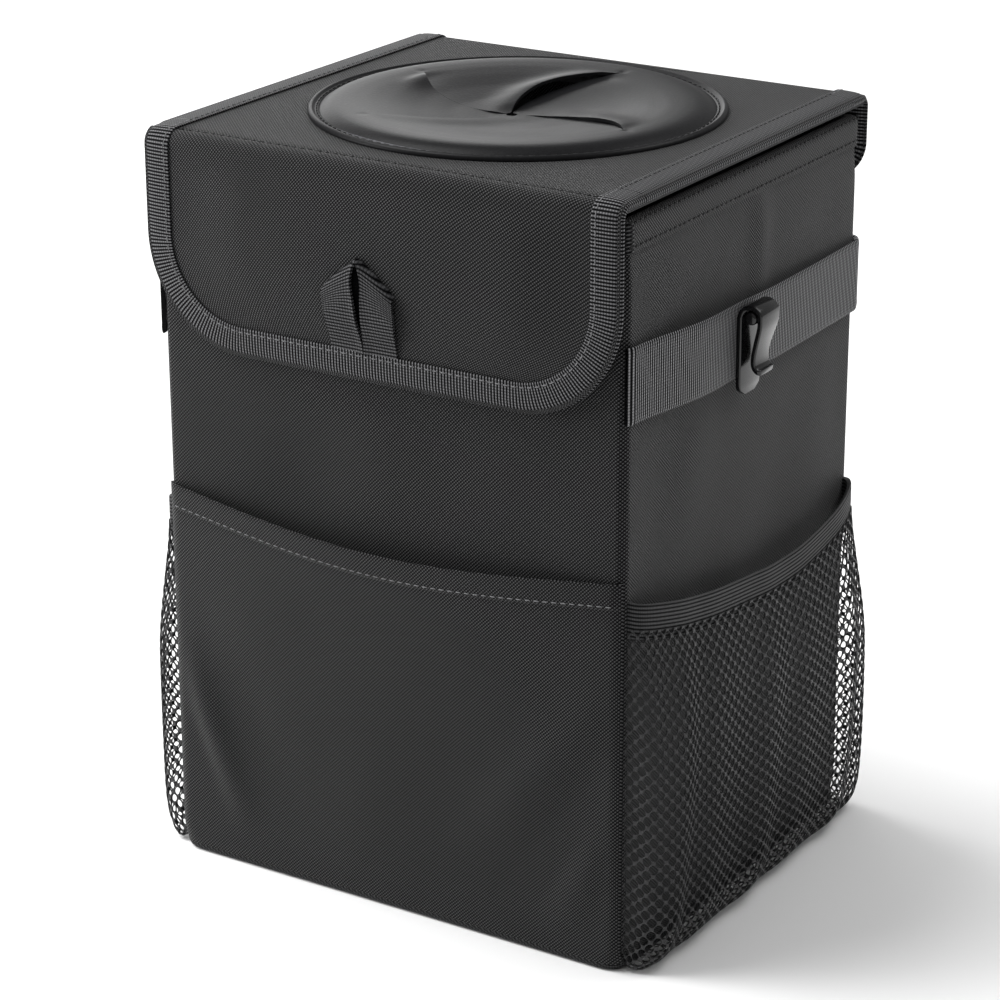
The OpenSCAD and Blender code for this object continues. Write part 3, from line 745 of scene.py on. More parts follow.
# The inner side of folded webbing, near black: painted shade for the shade deep in the fold
WEBBING_INSIDE = Grained(
    "polypropylene_webbing_inside", "strap_webbing", "#060607", "#030304", 0.8, 0.05,
    grain=1.2, shine=(0.0, 0.05), mottle=0.1, place_from=Coordinates.SOLID,
)


# --------------------------------------------------------- how pieces are hung


@dataclass(frozen=True)
class Crease:
    """A fold of cloth between two bodies, from the first point to the last."""

    fixed: str
    moving: str
    start: tuple[float, float, float]
    end: tuple[float, float, float]


def hang(piece: Piece, finish: Finish, on: str | Crease, *replaced: str) -> Piece:
    """Dresses a piece and hangs it on the frame.

    Args:
        piece: The piece.
        finish: Its finish.
        on: The body that it rides on, or the crease that it lies across; a piece on a crease is fixed where
            it stands, on no body.
        replaced: Nodes of the frame that it stands for.

    Returns:
        The piece.
    """
    finish.dress(piece)
    if isinstance(on, Crease):
        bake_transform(piece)
        log.info("%s bends from %s to %s", piece.name, on.fixed, on.moving)
    else:
        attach(piece, on)
        log.info("%s rides on %s", piece.name, on)
    if replaced:
        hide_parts(*replaced)
    return piece


FRONT_CREASE = Crease("lid", "front_flap", (0.0, -85.0, 295.6), (0.0, -92.0, 287.5))
BACK_CREASE = Crease("bin", "lid", (0.0, 94.6, 286.5), (0.0, 88.5, 295.2))


# -------------------------------------------------------------------- the body


def base_corner(z: float) -> float:
    """Radius of the upright corners at a height: softer near the base."""
    return BIN.corner_r + 5.0 * (1.0 - ease(z / 13.0)) ** 1.5


@dataclass
class BodyShell:
    """Outer cloth, rim band, base binding and lining of the body."""

    cloth_t: float = 0.95
    pucker: float = 0.6
    pull_ridge: float = 1.7
    seam_depth: float = 0.35
    rim_low: float = 276.0
    rim_top: float = 287.4
    binding_h: float = 4.0
    liner_out: float = -3.0

    def build(self) -> None:
        """Builds and dresses every piece of the body."""
        self.outer_cloth()
        self.rim_band()
        self.base_binding()
        self.lining()

    def free_share(self, loop: Array) -> Array:
        """0 at the upright corners and 1 in the middle of each face."""
        across = BIN.half_w - np.abs(loop[:, 0])
        deep = BIN.half_d - np.abs(loop[:, 1] - BIN.mid_y)
        return ease(np.maximum(across, deep) / 22.0)

    def outer_cloth(self) -> None:
        """Oxford cloth, sewn at the corners and lying in soft puckers on its boards."""
        loop = body_loop()
        run = lengths(loop)
        rows = np.concatenate([[1.0, 2.2, 3.6, 5.2, 7.0, 9.5], np.linspace(12.5, 286.0, 76)])
        s, z = np.meshgrid(run, rows)
        base = np.array([
            body_loop(BIN.cloth_out - 0.7 * ease((h - 262) / 14), base_corner(h)) for h in rows
        ])
        calm = ease((z - 6) / 22) * ease((274 - z) / 20)
        strap = 1.0 - ease((z - 196) / 12) * ease((254 - z) / 12)
        waves = (
            0.5 * np.sin(s / 13.0 + z / 41.0)
            + 0.35 * np.sin(s / 8.1 - z / 23.0 + 1.7)
            + 0.3 * np.sin(s / 27.0 + z / 16.0 + 0.6)
        )
        pocket = (loop[:, 1] < -80) * (1 - ease((z - 150) / 16))
        lift = self.pucker * waves * calm * self.free_share(loop) * strap * (1 - pocket)
        # Soft ridges where the strap and the pocket pull on the sides
        side = (np.abs(loop[:, 0]) > 90) * 1.0
        lift += self.pull_ridge * bump(loop[:, 1] - 10.5, 6.5) * side * bump(z - 256.0, 24.0)
        lift += 0.9 * bump(loop[:, 1] + 40.0, 15.0) * side * bump(z - 182.0, 20.0)
        for x in (-1, 1):
            for y in (BIN.front_y + 1.5, BIN.back_y - 1.5):
                corner = np.argmin(np.hypot(loop[:, 0] - x * (BIN.half_w - 1.5), loop[:, 1] - y))
                lift -= self.seam_depth * bump(run - run[corner], 0.8)
        place = base + lift[..., None] * outward(loop)[None]
        grid = np.concatenate([place, z[..., None]], 2)
        cloth = hang(
            thin_sheet("body_cloth", grid, self.cloth_t, closed=True, uv=np.stack([s, z], 2)),
            OXFORD, "bin", "front_panel", "back_panel", "left_side_panel", "right_side_panel",
        )

    def rim_band(self) -> None:
        """Cloth band folded over the rim, with its row of stitches."""
        top = self.rim_top
        profile = [(1.0, self.rim_low), (1.05, 281.0), (1.0, top - 2.4), (0.6, top - 0.8), (-0.4, top - 0.1),
                   (-1.9, top), (-3.4, top - 0.1), (-4.4, top - 0.8), (-4.8, top - 2.4), (-4.8, self.rim_low)]
        rows = np.array([xyz(*body_loop(out).T, z) for out, z in profile])
        band = hang(thin_sheet("rim_band_cloth", rows, 0.8, closed=True), OXFORD, "bin", "rim_band")
        loop = body_loop(1.05)
        out = xyz(*(loop - [0, BIN.mid_y]).T, 0.0)
        face = np.where(
            np.abs(out[:, :1]) / BIN.half_w > np.abs(out[:, 1:2]) / BIN.half_d,
            np.sign(out) * [1, 0, 0], np.sign(out) * [0, 1, 0],
        )
        for word, above in (("lower", 2.2), ("upper", 11.0)):
            path = xyz(*loop.T, self.rim_low + above)
            row = stitch_row(f"rim_band_{word}_stitches", path, face, radius=0.4)
            hang(row, SHADED_THREAD, "bin")

    def base_binding(self) -> None:
        """Rounded grosgrain round the base, dressed in the darker base oxford, whose darkness is painted
        shade.
        """
        profile = [(-0.4, 0.02), (0.5, 0.0), (1.4, 0.3), (1.9, 1.1), (2.0, 2.0), (1.8, 2.9),
                   (1.3, self.binding_h), (0.2, 3.9), (-0.4, 2.0), (-0.4, 0.02)]
        rows = np.array([xyz(*body_loop(out, base_corner(z)).T, z) for out, z in profile])
        hang(closed_skin("base_binding_tape", rows), OXFORD_SOLID, "bin", "base_binding")

    def lining(self) -> None:
        """Waterproof tub: walls with soft dents, and a floor."""
        loop = body_loop(self.liner_out)
        run = lengths(loop)
        s, z = np.meshgrid(run, np.linspace(3.0, self.rim_top - 0.8, 60))
        calm = ease((z - 4) / 25) * ease((280 - z) / 25)
        dents = -0.5 + 0.5 * np.sin(s / 17.0 + z / 29.0) * np.cos(s / 31.0 - z / 21.0)
        place = loop[None] + (dents * calm * 0.8)[..., None] * outward(loop)[None]
        walls = hang(
            thin_sheet("lining_walls", np.concatenate([place, z[..., None]], 2), 0.8, closed=True),
            COATED_LINING, "bin", "inner_liner",
        )
        edge = body_loop(self.liner_out - 0.4)[:-1]
        floor = hang(rounded_pad("lining_floor", edge, 3.0, 3.8, 0.3), COATED_LINING, "bin")


# ------------------------------------------------------------ the front pocket


@dataclass
class FrontPocket:
    """Sewn-on pocket with a hem that gapes at the mouth."""

    mouth_z: float = 155.0
    sag: float = 7.0
    gape: float = 7.0
    hem_w: float = 10.0
    cloth_t: float = 1.1
    foot_z: float = 4.1
    # Bottom edge of the cloth, tucked behind the base binding
    low_z: float = 2.6
    # Soft creases: x and z of both ends, half width and height
    creases: tuple[tuple[float, ...], ...] = (
        (-96.0, 88.0, -70.0, 24.0, 6.5, 1.9),
        (-96.0, 60.0, -84.0, 16.0, 6.5, -0.9),
        (-82.0, 100.0, -50.0, 34.0, 13.0, -0.8),
        (92.0, 104.0, 40.0, 44.0, 10.0, 1.8),
        (93.0, 78.0, 56.0, 20.0, 8.0, -1.3),
        (94.0, 50.0, 74.0, 14.0, 7.0, 1.3),
        (-30.0, 120.0, -84.0, 96.0, 16.0, 0.9),
        (10.0, 66.0, -30.0, 20.0, 17.0, 0.9),
    )

    def columns(self) -> tuple[Array, Array]:
        """Places across the body's front, closer set at the seams, and their share."""
        edge = np.array([99.6, 98.6, 97.4, 95.8, 93.8])
        x = np.concatenate([-edge, np.linspace(-91.0, 91.0, 75), edge[::-1]])
        return x, (x + edge[0]) / (2 * edge[0])

    def top(self, share: Array) -> Array:
        """Height of the mouth."""
        return self.mouth_z - self.sag * np.sin(math.pi * share) ** 1.2

    def surface(self, z: Array, proud: float) -> Array:
        """Outer face at the given heights (rows, columns), this far proud of the cloth."""
        across, share = self.columns()
        x = np.broadcast_to(across, z.shape)
        r = base_corner(z)
        flat_end = BIN.half_w + BIN.cloth_out - r
        sine = np.clip((np.abs(x) - flat_end) / r, 0.0, 0.94)
        cosine = np.sqrt(1.0 - sine * sine)
        rise = np.clip((z - self.foot_z) / (self.top(share) - self.foot_z), 0, 1)
        stand = self.gape * np.sin(math.pi * share) ** 0.9 * rise ** 1.6
        calm = ease(share / 0.06) * ease((1 - share) / 0.06) * ease((z - 5) / 14)
        for x0, z0, x1, z1, width, height in self.creases:
            run = np.array([x1 - x0, z1 - z0])
            t = np.clip(((x - x0) * run[0] + (z - z0) * run[1]) / (run @ run), 0, 1)
            away = np.hypot(x - x0 - t * run[0], z - z0 - t * run[1])
            stand = stand + height * bump(away, width) * (0.35 + 0.65 * np.sin(math.pi * t)) * calm
        stand = np.maximum(stand, 0.0) + 0.9 + proud
        stand = 0.95 + stand * ease(share / 0.02 + 0.25) * ease((1 - share) / 0.02 + 0.25)
        return xyz(
            np.sign(x) * (np.minimum(np.abs(x), flat_end + r * sine) + sine * stand),
            BIN.front_y + r * (1 - cosine) - cosine * stand, z,
        )

    def build(self) -> None:
        """Builds the pocket, its hem and its stitches."""
        _, share = self.columns()
        low = self.top(share) - self.hem_w
        z = self.low_z + np.linspace(0, 1, 50)[:, None] * (low + 1.5 - self.low_z)[None]
        grid = self.surface(z, 0.0)
        cloth = thin_sheet("front_pocket_cloth", grid, self.cloth_t, uv=grid[..., ::2])
        pocket = hang(cloth, OXFORD, "bin", "front_pocket")
        steps = np.array([0.0, 0.05, 0.2, 0.4, 0.6, 0.8, 0.95, 1.0])
        z = low[None] + steps[:, None] * self.hem_w
        proud = np.array([0.1, 0.5, 0.6, 0.62, 0.62, 0.6, 0.45, 0.0])
        rows = np.array([self.surface(z, p)[k] for k, p in enumerate(proud)])
        fold = thin_sheet("front_pocket_hem_cloth", rows, 1.7, uv=rows[..., ::2])
        hem = hang(fold, OXFORD, "bin", "front_pocket_hem")
        path = self.surface(np.broadcast_to(low + 1.4, (2, len(low))), 0.62)[0, 3:-3]
        row = stitch_row("front_pocket_stitches", path, (0, -1, 0), pitch=3.6, radius=0.26)
        stitches = hang(row, THREAD, "bin")


# ------------------------------------------------------------ the mesh pockets


@dataclass
class MeshPocket:
    """Puffed pocket of knitted net, gathered into an elastic band."""

    side: Side
    mouth_bulge: float = 9.8
    # Mouth: Y and height
    mouth_knots: tuple[tuple[float, float], ...] = (
        (-86.0, 148.0), (-66.0, 143.2), (-42.0, 138.2), (-8.0, 133.6), (24.0, 131.0), (54.0, 133.2),
        (74.0, 137.0), (90.0, 141.4),
    )
    band_w: float = 14.2
    half_d: float = 86.0
    # How square the pocket is seen from above, below and at the mouth
    fullness: tuple[float, float] = (0.3, 0.55)
    fold: float = 1.5
    # Its section from the foot up: how far it stands out, and its height
    profile: tuple[tuple[float, float], ...] = (
        (2.2, 2.2), (5.2, 0.9), (8.4, 0.8), (11.0, 2.4), (13.2, 5.4), (14.9, 9.6), (16.3, 17.0), (17.1, 31.0),
        (17.5, 55.0), (17.3, 80.0), (16.0, 100.0), (13.8, 116.0), (11.6, 127.0), (10.2, 136.0),
    )
    # Half a cell across and up, and the yarn's thickness
    cell: tuple[float, float] = (3.1, 2.85)
    yarn_t: float = 0.55
    hole: tuple[float, float, float] = (2.15, 1.98, 1.9)

    def plan(self, u: Array, full: Any) -> tuple[Array, Array]:
        """Share of the bulge and Y at a plan share u from front to back."""
        c = -np.cos(math.pi * u)
        share = np.maximum(np.sin(math.pi * u), 0.0) ** full
        return share, BIN.mid_y + self.half_d * np.sign(c) * np.abs(c) ** full

    def mouth(self, y: Array) -> Array:
        """Height of the mouth."""
        curve = smooth_curve(self.mouth_knots, 120)
        return np.interp(y, curve[:, 0], curve[:, 1])

    def section(self, t: Array, full: float) -> tuple[Array, Array]:
        """Share of the bulge and Y at an even share t of the cloth, closer set near the seams."""
        q = np.linspace(-1, 1, 1601)
        share, y = self.plan(0.5 + 0.5 * np.sign(q) * np.abs(q) ** (1.0 / full), full)
        run = lengths(np.column_stack([share * 15.0, y]))
        at = (t - 0.03 * np.sin(2 * math.pi * t)) * run[-1]
        return np.interp(at, run, share), np.interp(at, run, y)

    def folds(self, t: Array, b: Array) -> Array:
        """Irregular gathers that lean forwards as they go down."""
        s = t + 0.09 * (1.0 - b)
        return (
            0.60 * np.sin(2 * math.pi * 6.2 * s + 0.5)
            + 0.2 * np.sin(2 * math.pi * 9.3 * s + 2.2)
            + 0.22 * np.sin(2 * math.pi * 3.1 * s + 4.0)
        )

    def surface(self, t: Array, b: Array) -> Array:
        """Points of the net at shares t across and b up, both from 0 to 1."""
        t = np.clip(t, 0.0, 1.0)
        b = np.clip(b, 0.0, 1.0)
        w = ease((b - 0.6) / 0.4)
        low, high = (self.section(t, full) for full in self.fullness)
        share, y = (low[k] * (1 - w) + high[k] * w for k in (0, 1))
        curve = smooth_curve(self.profile, 140)
        at = lengths(curve)
        out, height = (np.interp(b * at[-1], at, curve[:, k]) for k in (0, 1))
        top = self.mouth(high[1]) - self.band_w + 4.0
        foot = 3.0 * (1.0 - np.minimum(share * 1.2, 1.0))
        z = foot + height * (top - foot) / self.profile[-1][1]
        deep = self.fold * ease(b / 0.16) * (0.2 + 0.8 * ease((1 - b) / 0.2)) * ease(share * 1.5 - 0.5)
        x = BIN.half_w + share * out + deep * self.folds(t, b)
        return np.stack([x, y, z], -1)

    def net(self) -> Piece:
        """The net: every cell is a ring of yarn round its own hole."""
        across, up = self.cell
        columns, rows = int(round(218.0 / across)), int(round(146.0 / (2 * up)))
        i, j = np.meshgrid(np.arange(columns + 1), np.arange(rows + 1), indexing="ij")
        centre = np.stack([i * across, (2 * j + (i % 2)) * up], -1).reshape(-1, 2)
        width, height = columns * across, (2 * rows + 1) * up
        corners = np.array([(across, 0), (0, up), (-across, 0), (0, -up)], float)
        rim = np.concatenate([line(corners[k], corners[(k + 1) % 4], 3) for k in range(4)])
        turn = np.arctan2(rim[:, 1] / up, rim[:, 0] / across)
        a, c, n = self.hole
        reach = (np.abs(np.cos(turn)) ** n + np.abs(np.sin(turn)) ** n) ** (-1.0 / n)
        hole = np.stack([a * reach * np.cos(turn), c * reach * np.sin(turn)], -1)
        outer = (centre[:, None] + rim[None]).reshape(-1, 2)
        unique, index = np.unique(np.round(outer, 3), axis=0, return_inverse=True)
        index = index.reshape(-1, 12)
        inner = (centre[:, None] + hole[None]).reshape(-1, 2)
        flat = np.concatenate([unique, inner])
        inner_index = len(unique) + np.arange(len(inner)).reshape(-1, 12)
        t, b = flat[:, 0] / width, flat[:, 1] / height
        step = 0.004
        here = self.surface(t, b)
        across_dir = self.surface(t + step, b) - self.surface(t - step, b)
        up_dir = self.surface(t, b + step) - self.surface(t, b - step)
        normal = np.cross(across_dir, up_dir)
        normal /= np.maximum(np.linalg.norm(normal, axis=1, keepdims=True), 1e-9)
        normal[:, 0] = np.maximum(normal[:, 0], 0.05)
        crown = np.full(len(flat), self.yarn_t / 2)
        crown[: len(unique)] *= 1.35
        points = np.concatenate([here + normal * crown[:, None], here - normal * crown[:, None]])
        count = len(flat)
        after = np.roll(index, -1, axis=1)
        inner_after = np.roll(inner_index, -1, axis=1)
        front = np.stack([index, after, inner_after, inner_index], -1).reshape(-1, 4)
        back = front[:, ::-1] + count
        wall = np.stack([
            inner_index, inner_after, inner_after + count, inner_index + count,
        ], -1).reshape(-1, 4)
        edges = np.stack([index, after], -1).reshape(-1, 2)
        key = np.sort(edges, axis=1)
        _, which, times = np.unique(key, axis=0, return_inverse=True, return_counts=True)
        free = edges[times[which.ravel()] == 1]
        rim_wall = np.stack([free[:, 1], free[:, 0], free[:, 0] + count, free[:, 1] + count], 1)
        points[:, 0] *= self.side.value
        faces = np.concatenate([front, back, wall, rim_wall])
        return mesh_piece(
            f"{self.side.word}_pocket_net", points, faces, np.concatenate([flat, flat]),
            weld=True, sharp_degrees=75.0,
        )

    def band_point(self, t: Array, z_share: float, tuck: float) -> Array:
        """Points of the elastic band's outer face."""
        share, y = self.section(t, self.fullness[1])
        ripple = 0.25 * self.folds(t, np.ones_like(t)) * share
        x = BIN.half_w + share * (self.mouth_bulge + ripple - tuck) + 0.1
        z = self.mouth(y) - self.band_w * (1 - z_share)
        return xyz(x * self.side.value, y, z)

    def build(self) -> None:
        """Builds the net, its band and stitches."""
        word, sign = self.side.word, self.side.value
        net = hang(self.net(), NET_YARN, "bin", f"{word}_mesh_pocket")
        t = np.linspace(0, 1, 131)
        shares = [(0.0, 0.6), (0.03, 0.15), (0.12, 0.0), (0.3, 0.0), (0.5, -0.1), (0.7, 0.0),
                  (0.88, 0.0), (0.97, 0.15), (1.0, 0.6)]
        rows = np.array([self.band_point(t, s, tuck) for s, tuck in shares])
        elastic = thin_sheet(f"{word}_elastic_band", rows, 1.7, inward=sign)
        band = hang(elastic, ELASTIC, "bin", f"{word}_pocket_elastic")
        path = self.band_point(t, 0.2, -0.05)[4:-4]
        row = stitch_row(f"{word}_band_stitches", path, (sign, 0, 0), pitch=3.2, stitch=2.3, radius=0.27)
        stitches = hang(row, SHADED_THREAD, "bin")


# --------------------------------------------------------- the strap and clips


@dataclass
class SideStrap:
    """Webbing from front seam to front seam round the back."""

    low_z: float = 210.0
    width: float = 28.6
    thickness: float = 1.7
    clip_share: float = 0.456
    front_slack: float = 5.2
    clip_stand: float = 2.95
    back_stand: float = 1.5
    # How much higher the slack front ends sit than the rest
    front_rise: float = 3.6

    def side_path(self) -> Array:
        """Inner face of the strap along the right side, from the front seam back."""
        corner = BIN.corner_r
        start_y, end_y = BIN.front_y + corner, BIN.back_y - corner
        s = np.linspace(0, 1, 61)
        front = np.clip(s / self.clip_share, 0, 1)
        back = np.clip((s - self.clip_share) / (1 - self.clip_share), 0, 1)
        stand = np.where(
            s < self.clip_share,
            1.0 + (self.clip_stand - 1.0) * ease(front * 1.6)
            + (self.front_slack - self.clip_stand) * np.sin(math.pi * front) ** 1.4,
            self.clip_stand + (self.back_stand - self.clip_stand) * ease(back)
            + 0.5 * np.sin(math.pi * back),
        )
        side = np.column_stack([BIN.half_w + stand, start_y + (end_y - start_y) * s])
        seam = arc((BIN.half_w - corner, start_y), corner + 1.0, -44, 0, 4)
        turn = arc((BIN.half_w - corner, end_y), corner + self.back_stand, 10, 91, 9)
        return np.concatenate([seam, side, turn])

    def build(self) -> None:
        """Builds the strap with its thick woven edges."""
        right = self.side_path()
        middle = line(right[-1], (-right[-1, 0], right[-1, 1]), 50)[1:]
        left = right[::-1] * [-1, 1]
        path = np.concatenate([right, middle, left])
        run = lengths(path)
        # The woven edges are a little thicker, and the strap wanders where it hangs free
        shares = [(0.0, -0.5), (0.025, -0.1), (0.08, 0.08), (0.14, 0.0), (0.5, 0.0), (0.86, 0.0),
                  (0.92, 0.08), (0.975, -0.1), (1.0, -0.5)]
        wander = 0.25 * np.sin(run / 37.0) * (np.abs(path[:, 1] - 2) < 86)
        rise = self.front_rise * ease((20.0 - path[:, 1]) / 104.0)
        grid = np.array([
            xyz(
                *(path + outward(path) * (self.thickness + proud)).T,
                self.low_z + 0.6 + self.width * share + wander + rise,
            ) for share, proud in shares
        ])
        uv = np.stack(np.broadcast_arrays(run[None], grid[:, :1, 2]), 2)
        webbing = thin_sheet("side_strap_webbing", grid, self.thickness, uv=uv)
        strap = hang(webbing, WEBBING, "bin", "side_strap")


@dataclass
class BagClip:
    """One-piece spring clip: back plate, rolled top and a narrowing tongue."""

    side: Side
    x: float = 104.95
    y: float = -6.3
    z: float = 205.2
    width: float = 16.0
    height: float = 35.0
    thickness: float = 2.0
    roll_r: float = 4.0
    # Radii of the plate's foot and of the tongue's tip, seen from the side of the bin
    foot_r: float = 4.6
    tip_r: float = 1.6

    def middle_line(self) -> Array:
        """Middle of the section, out from the strap and up, with its width at each point."""
        half = self.thickness / 2
        plate_n, roll_n = 14, 16
        roll_z = self.height - self.roll_r - half
        plate = line((half, 0.0), (half, roll_z), plate_n)
        roll = arc((half + self.roll_r, roll_z), self.roll_r, 180, 8, roll_n)
        tongue = smooth_curve([
            roll[-1], (8.7, 27.4), (7.8, 23.8), (6.7, 20.0), (5.9, 16.4), (5.6, 13.2), (6.0, 11.0),
            (7.2, 9.7), (8.8, 9.3),
        ], 30)[1:]
        points = np.concatenate([plate, roll, tongue])
        run = lengths(points)
        top, bend = run[plate_n], run[plate_n + roll_n]
        narrow = self.width - 2.0 - 3.0 * ease((run - bend) / (run[-1] - bend) / 0.6)
        narrow = np.maximum(narrow, self.width - 2.0 * (run - top) / 4.0)
        width = np.where(run < top, self.width, narrow)
        for r, from_end, share in ((self.foot_r, run, 0.85), (self.tip_r, run[-1] - run, 0.6)):
            near = np.clip(r - from_end, 0, r)
            width = width - 2 * (r - np.sqrt(r ** 2 - near ** 2)) * share
        return np.column_stack([points, width])

    def build(self) -> None:
        """Sweeps a rounded bar along the middle line and adds the boss inside the roll."""
        bar = self.middle_line()
        side = -outward(bar[:, :2])
        half, soft = self.thickness / 2, 0.55
        section = [
            (sx, sy, math.radians(start + a))
            for sx, sy, start in ((1, 1, 0), (-1, 1, 90), (-1, -1, 180), (1, -1, 270))
            for a in (0, 30, 60, 90)
        ]
        rows = []
        for sx, sy, turn in section + section[:1]:
            across = sx * (bar[:, 2] / 2 - soft) + soft * math.cos(turn)
            out, up = (bar[:, :2] + side * (sy * (half - soft) + soft * math.sin(turn))).T
            rows.append(xyz((self.x + out) * self.side.value, self.y + across, self.z + up))
        word = self.side.word
        clip = closed_skin(f"{word}_bag_clip", np.array(rows), ring=False)
        hang(clip, CLIP_PLASTIC, "bin", f"{word}_clip")
        x, z = self.x + half + self.roll_r, self.z + self.height - self.roll_r - half
        steps = [(-7.3, 0.0), (-7.3, 1.6), (-6.9, 2.3), (-6.0, 2.6),
                 (6.0, 2.6), (6.9, 2.3), (7.3, 1.6), (7.3, 0.0)]
        y, r = np.array(steps).T
        turns = np.radians(np.linspace(0, 360, 25))[:, None]
        grid = xyz((x + r * np.cos(turns)) * self.side.value, self.y + y, z + r * np.sin(turns))
        boss = mesh_piece(
            f"{word}_bag_clip_boss", grid.reshape(-1, 3), grid_quads(*grid.shape[:2]), weld=True,
        )
        hang(boss, CLIP_PLASTIC, "bin")


# ------------------------------------------------------------- the edge binding


@dataclass(frozen=True)
class EdgePath:
    """An edge with its binding: points, the way in over the cloth, normals, depth."""

    edge: Array
    inward: Array
    normal: Array
    depth: Array

    def at(self, i: float, n: Any) -> Array:
        """Points this far in from the edge and this far above the cloth."""
        lift = np.broadcast_to(n, self.depth.shape)
        return self.edge + self.inward * i + self.normal * lift[:, None]

    def binding(self, word: str, thread: Finish, on: str | Crease, node: str) -> list[Piece]:
        """A tape folded over the edge, with its row of stitches.

        Args:
            word: What the pieces' names start with.
            thread: Finish of the stitches.
            on: Where both hang.
            node: Node that the tape stands for.

        Returns:
            The tape and the row.
        """
        d, width, tape = self.depth, TAPE_W, TAPE_T
        section = [
            (width, tape - 0.1), (width - 0.5, tape + 0.08), (width - 1.6, tape + 0.02), (8.0, tape),
            (5.0, tape - 0.12), (3.0, tape - 0.35), (1.7, tape - 0.75), (0.75, -0.1 - 0.15 * d),
            (0.15, -0.2 - 0.27 * d), (0.0, -0.5 * d), (0.15, 0.2 - 0.73 * d), (0.75, 0.1 - 0.85 * d),
            (1.7, 0.75 - tape - d), (3.0, 0.35 - tape - d), (6.0, -tape - d), (width, 0.1 - tape - d),
        ]
        rows = np.array([self.at(i, n) for i, n in section])
        run = lengths(self.at(width / 2, 0.0))
        across = lengths(np.array([(i, np.mean(n)) for i, n in section]))
        uv = np.stack(np.meshgrid(run, across), 2)
        way = np.cross(rows[8, 1] - rows[8, 0], rows[9, 0] - rows[8, 0]) @ self.inward[0]
        folded = thin_sheet(f"{word}_tape", rows, tape, uv=uv, inward=-1.0 if way > 0 else 1.0)
        path = self.at(width - 1.9, tape + 0.02)
        row = stitch_row(f"{word}_tape_stitches", path, self.normal, pitch=3.3, radius=0.27)
        return [hang(folded, GROSGRAIN, on, node), hang(row, thread, on)]


def flap_edge(
    drop: float, corner_r: float, fold_r: float, lid_start: float, front: bool, thick: float,
) -> EdgePath:
    """Edge of a flap with the last stretch of the lid's side edges.

    Args:
        drop: How far the flap hangs below the lid's top.
        corner_r: Radius of its lower corners.
        fold_r: Radius of the fold at its top.
        lid_start: Y where the path begins and ends on the lid.
        front: True for the front flap, False for the back one.
        thick: Thickness of the flap.

    Returns:
        The path from one side of the lid down, round and up to the other.
    """
    way = -1.0 if front else 1.0
    face_y = (BIN.crease_y - 3.2) if front else (BIN.hinge_y + 1.4)
    top, half = BIN.lid_top_z, BIN.lid_half_w
    fold_y = face_y - way * fold_r
    lid_t = BIN.lid_t
    points, inward, normal, depth = [], [], [], []

    def add(x: float, y: float, z: float, into: Sequence[float], up: Sequence[float], t: float) -> None:
        points.append((x, y, z))
        inward.append(into)
        normal.append(up)
        depth.append(t)

    x0 = -half if front else half
    into = 1.0 if front else -1.0
    for y in np.linspace(lid_start, fold_y, 7, endpoint=False):
        add(x0, y, top, (into, 0, 0), (0, 0, 1), lid_t)
    for a in np.radians(np.linspace(0, 90, 13)):
        share = a / math.radians(90)
        add(
            x0, fold_y + way * fold_r * math.sin(a), top - fold_r + fold_r * math.cos(a),
            (into, 0, 0), (0, way * math.sin(a), math.cos(a)), lid_t + (thick - lid_t) * share,
        )
    low_z = top - drop + corner_r
    for z in np.linspace(top - fold_r, low_z, 14)[1:-1]:
        add(x0, face_y, z, (into, 0, 0), (0, way, 0), thick)
    centre_x = x0 + into * corner_r
    for a in np.radians(np.linspace(0, 90, 17)):
        dx, dz = -into * math.cos(a), -math.sin(a)
        add(
            centre_x + corner_r * dx, face_y, low_z + corner_r * dz,
            (-dx, 0, -dz), (0, way, 0), thick,
        )
    for x in np.linspace(centre_x, 0.0, 14)[1:]:
        add(x, face_y, top - drop, (0, 0, 1), (0, way, 0), thick)

    def both(half: list, mirror: Any) -> Array:
        """The half path's values and, after them, their mirror image."""
        return np.concatenate([np.array(half, float), np.array(half, float)[-2::-1] * mirror])

    flip = [-1.0, 1.0, 1.0]
    return EdgePath(both(points, flip), both(inward, flip), both(normal, flip), both(depth, 1.0))


# -------------------------------------------------------------------- the lid


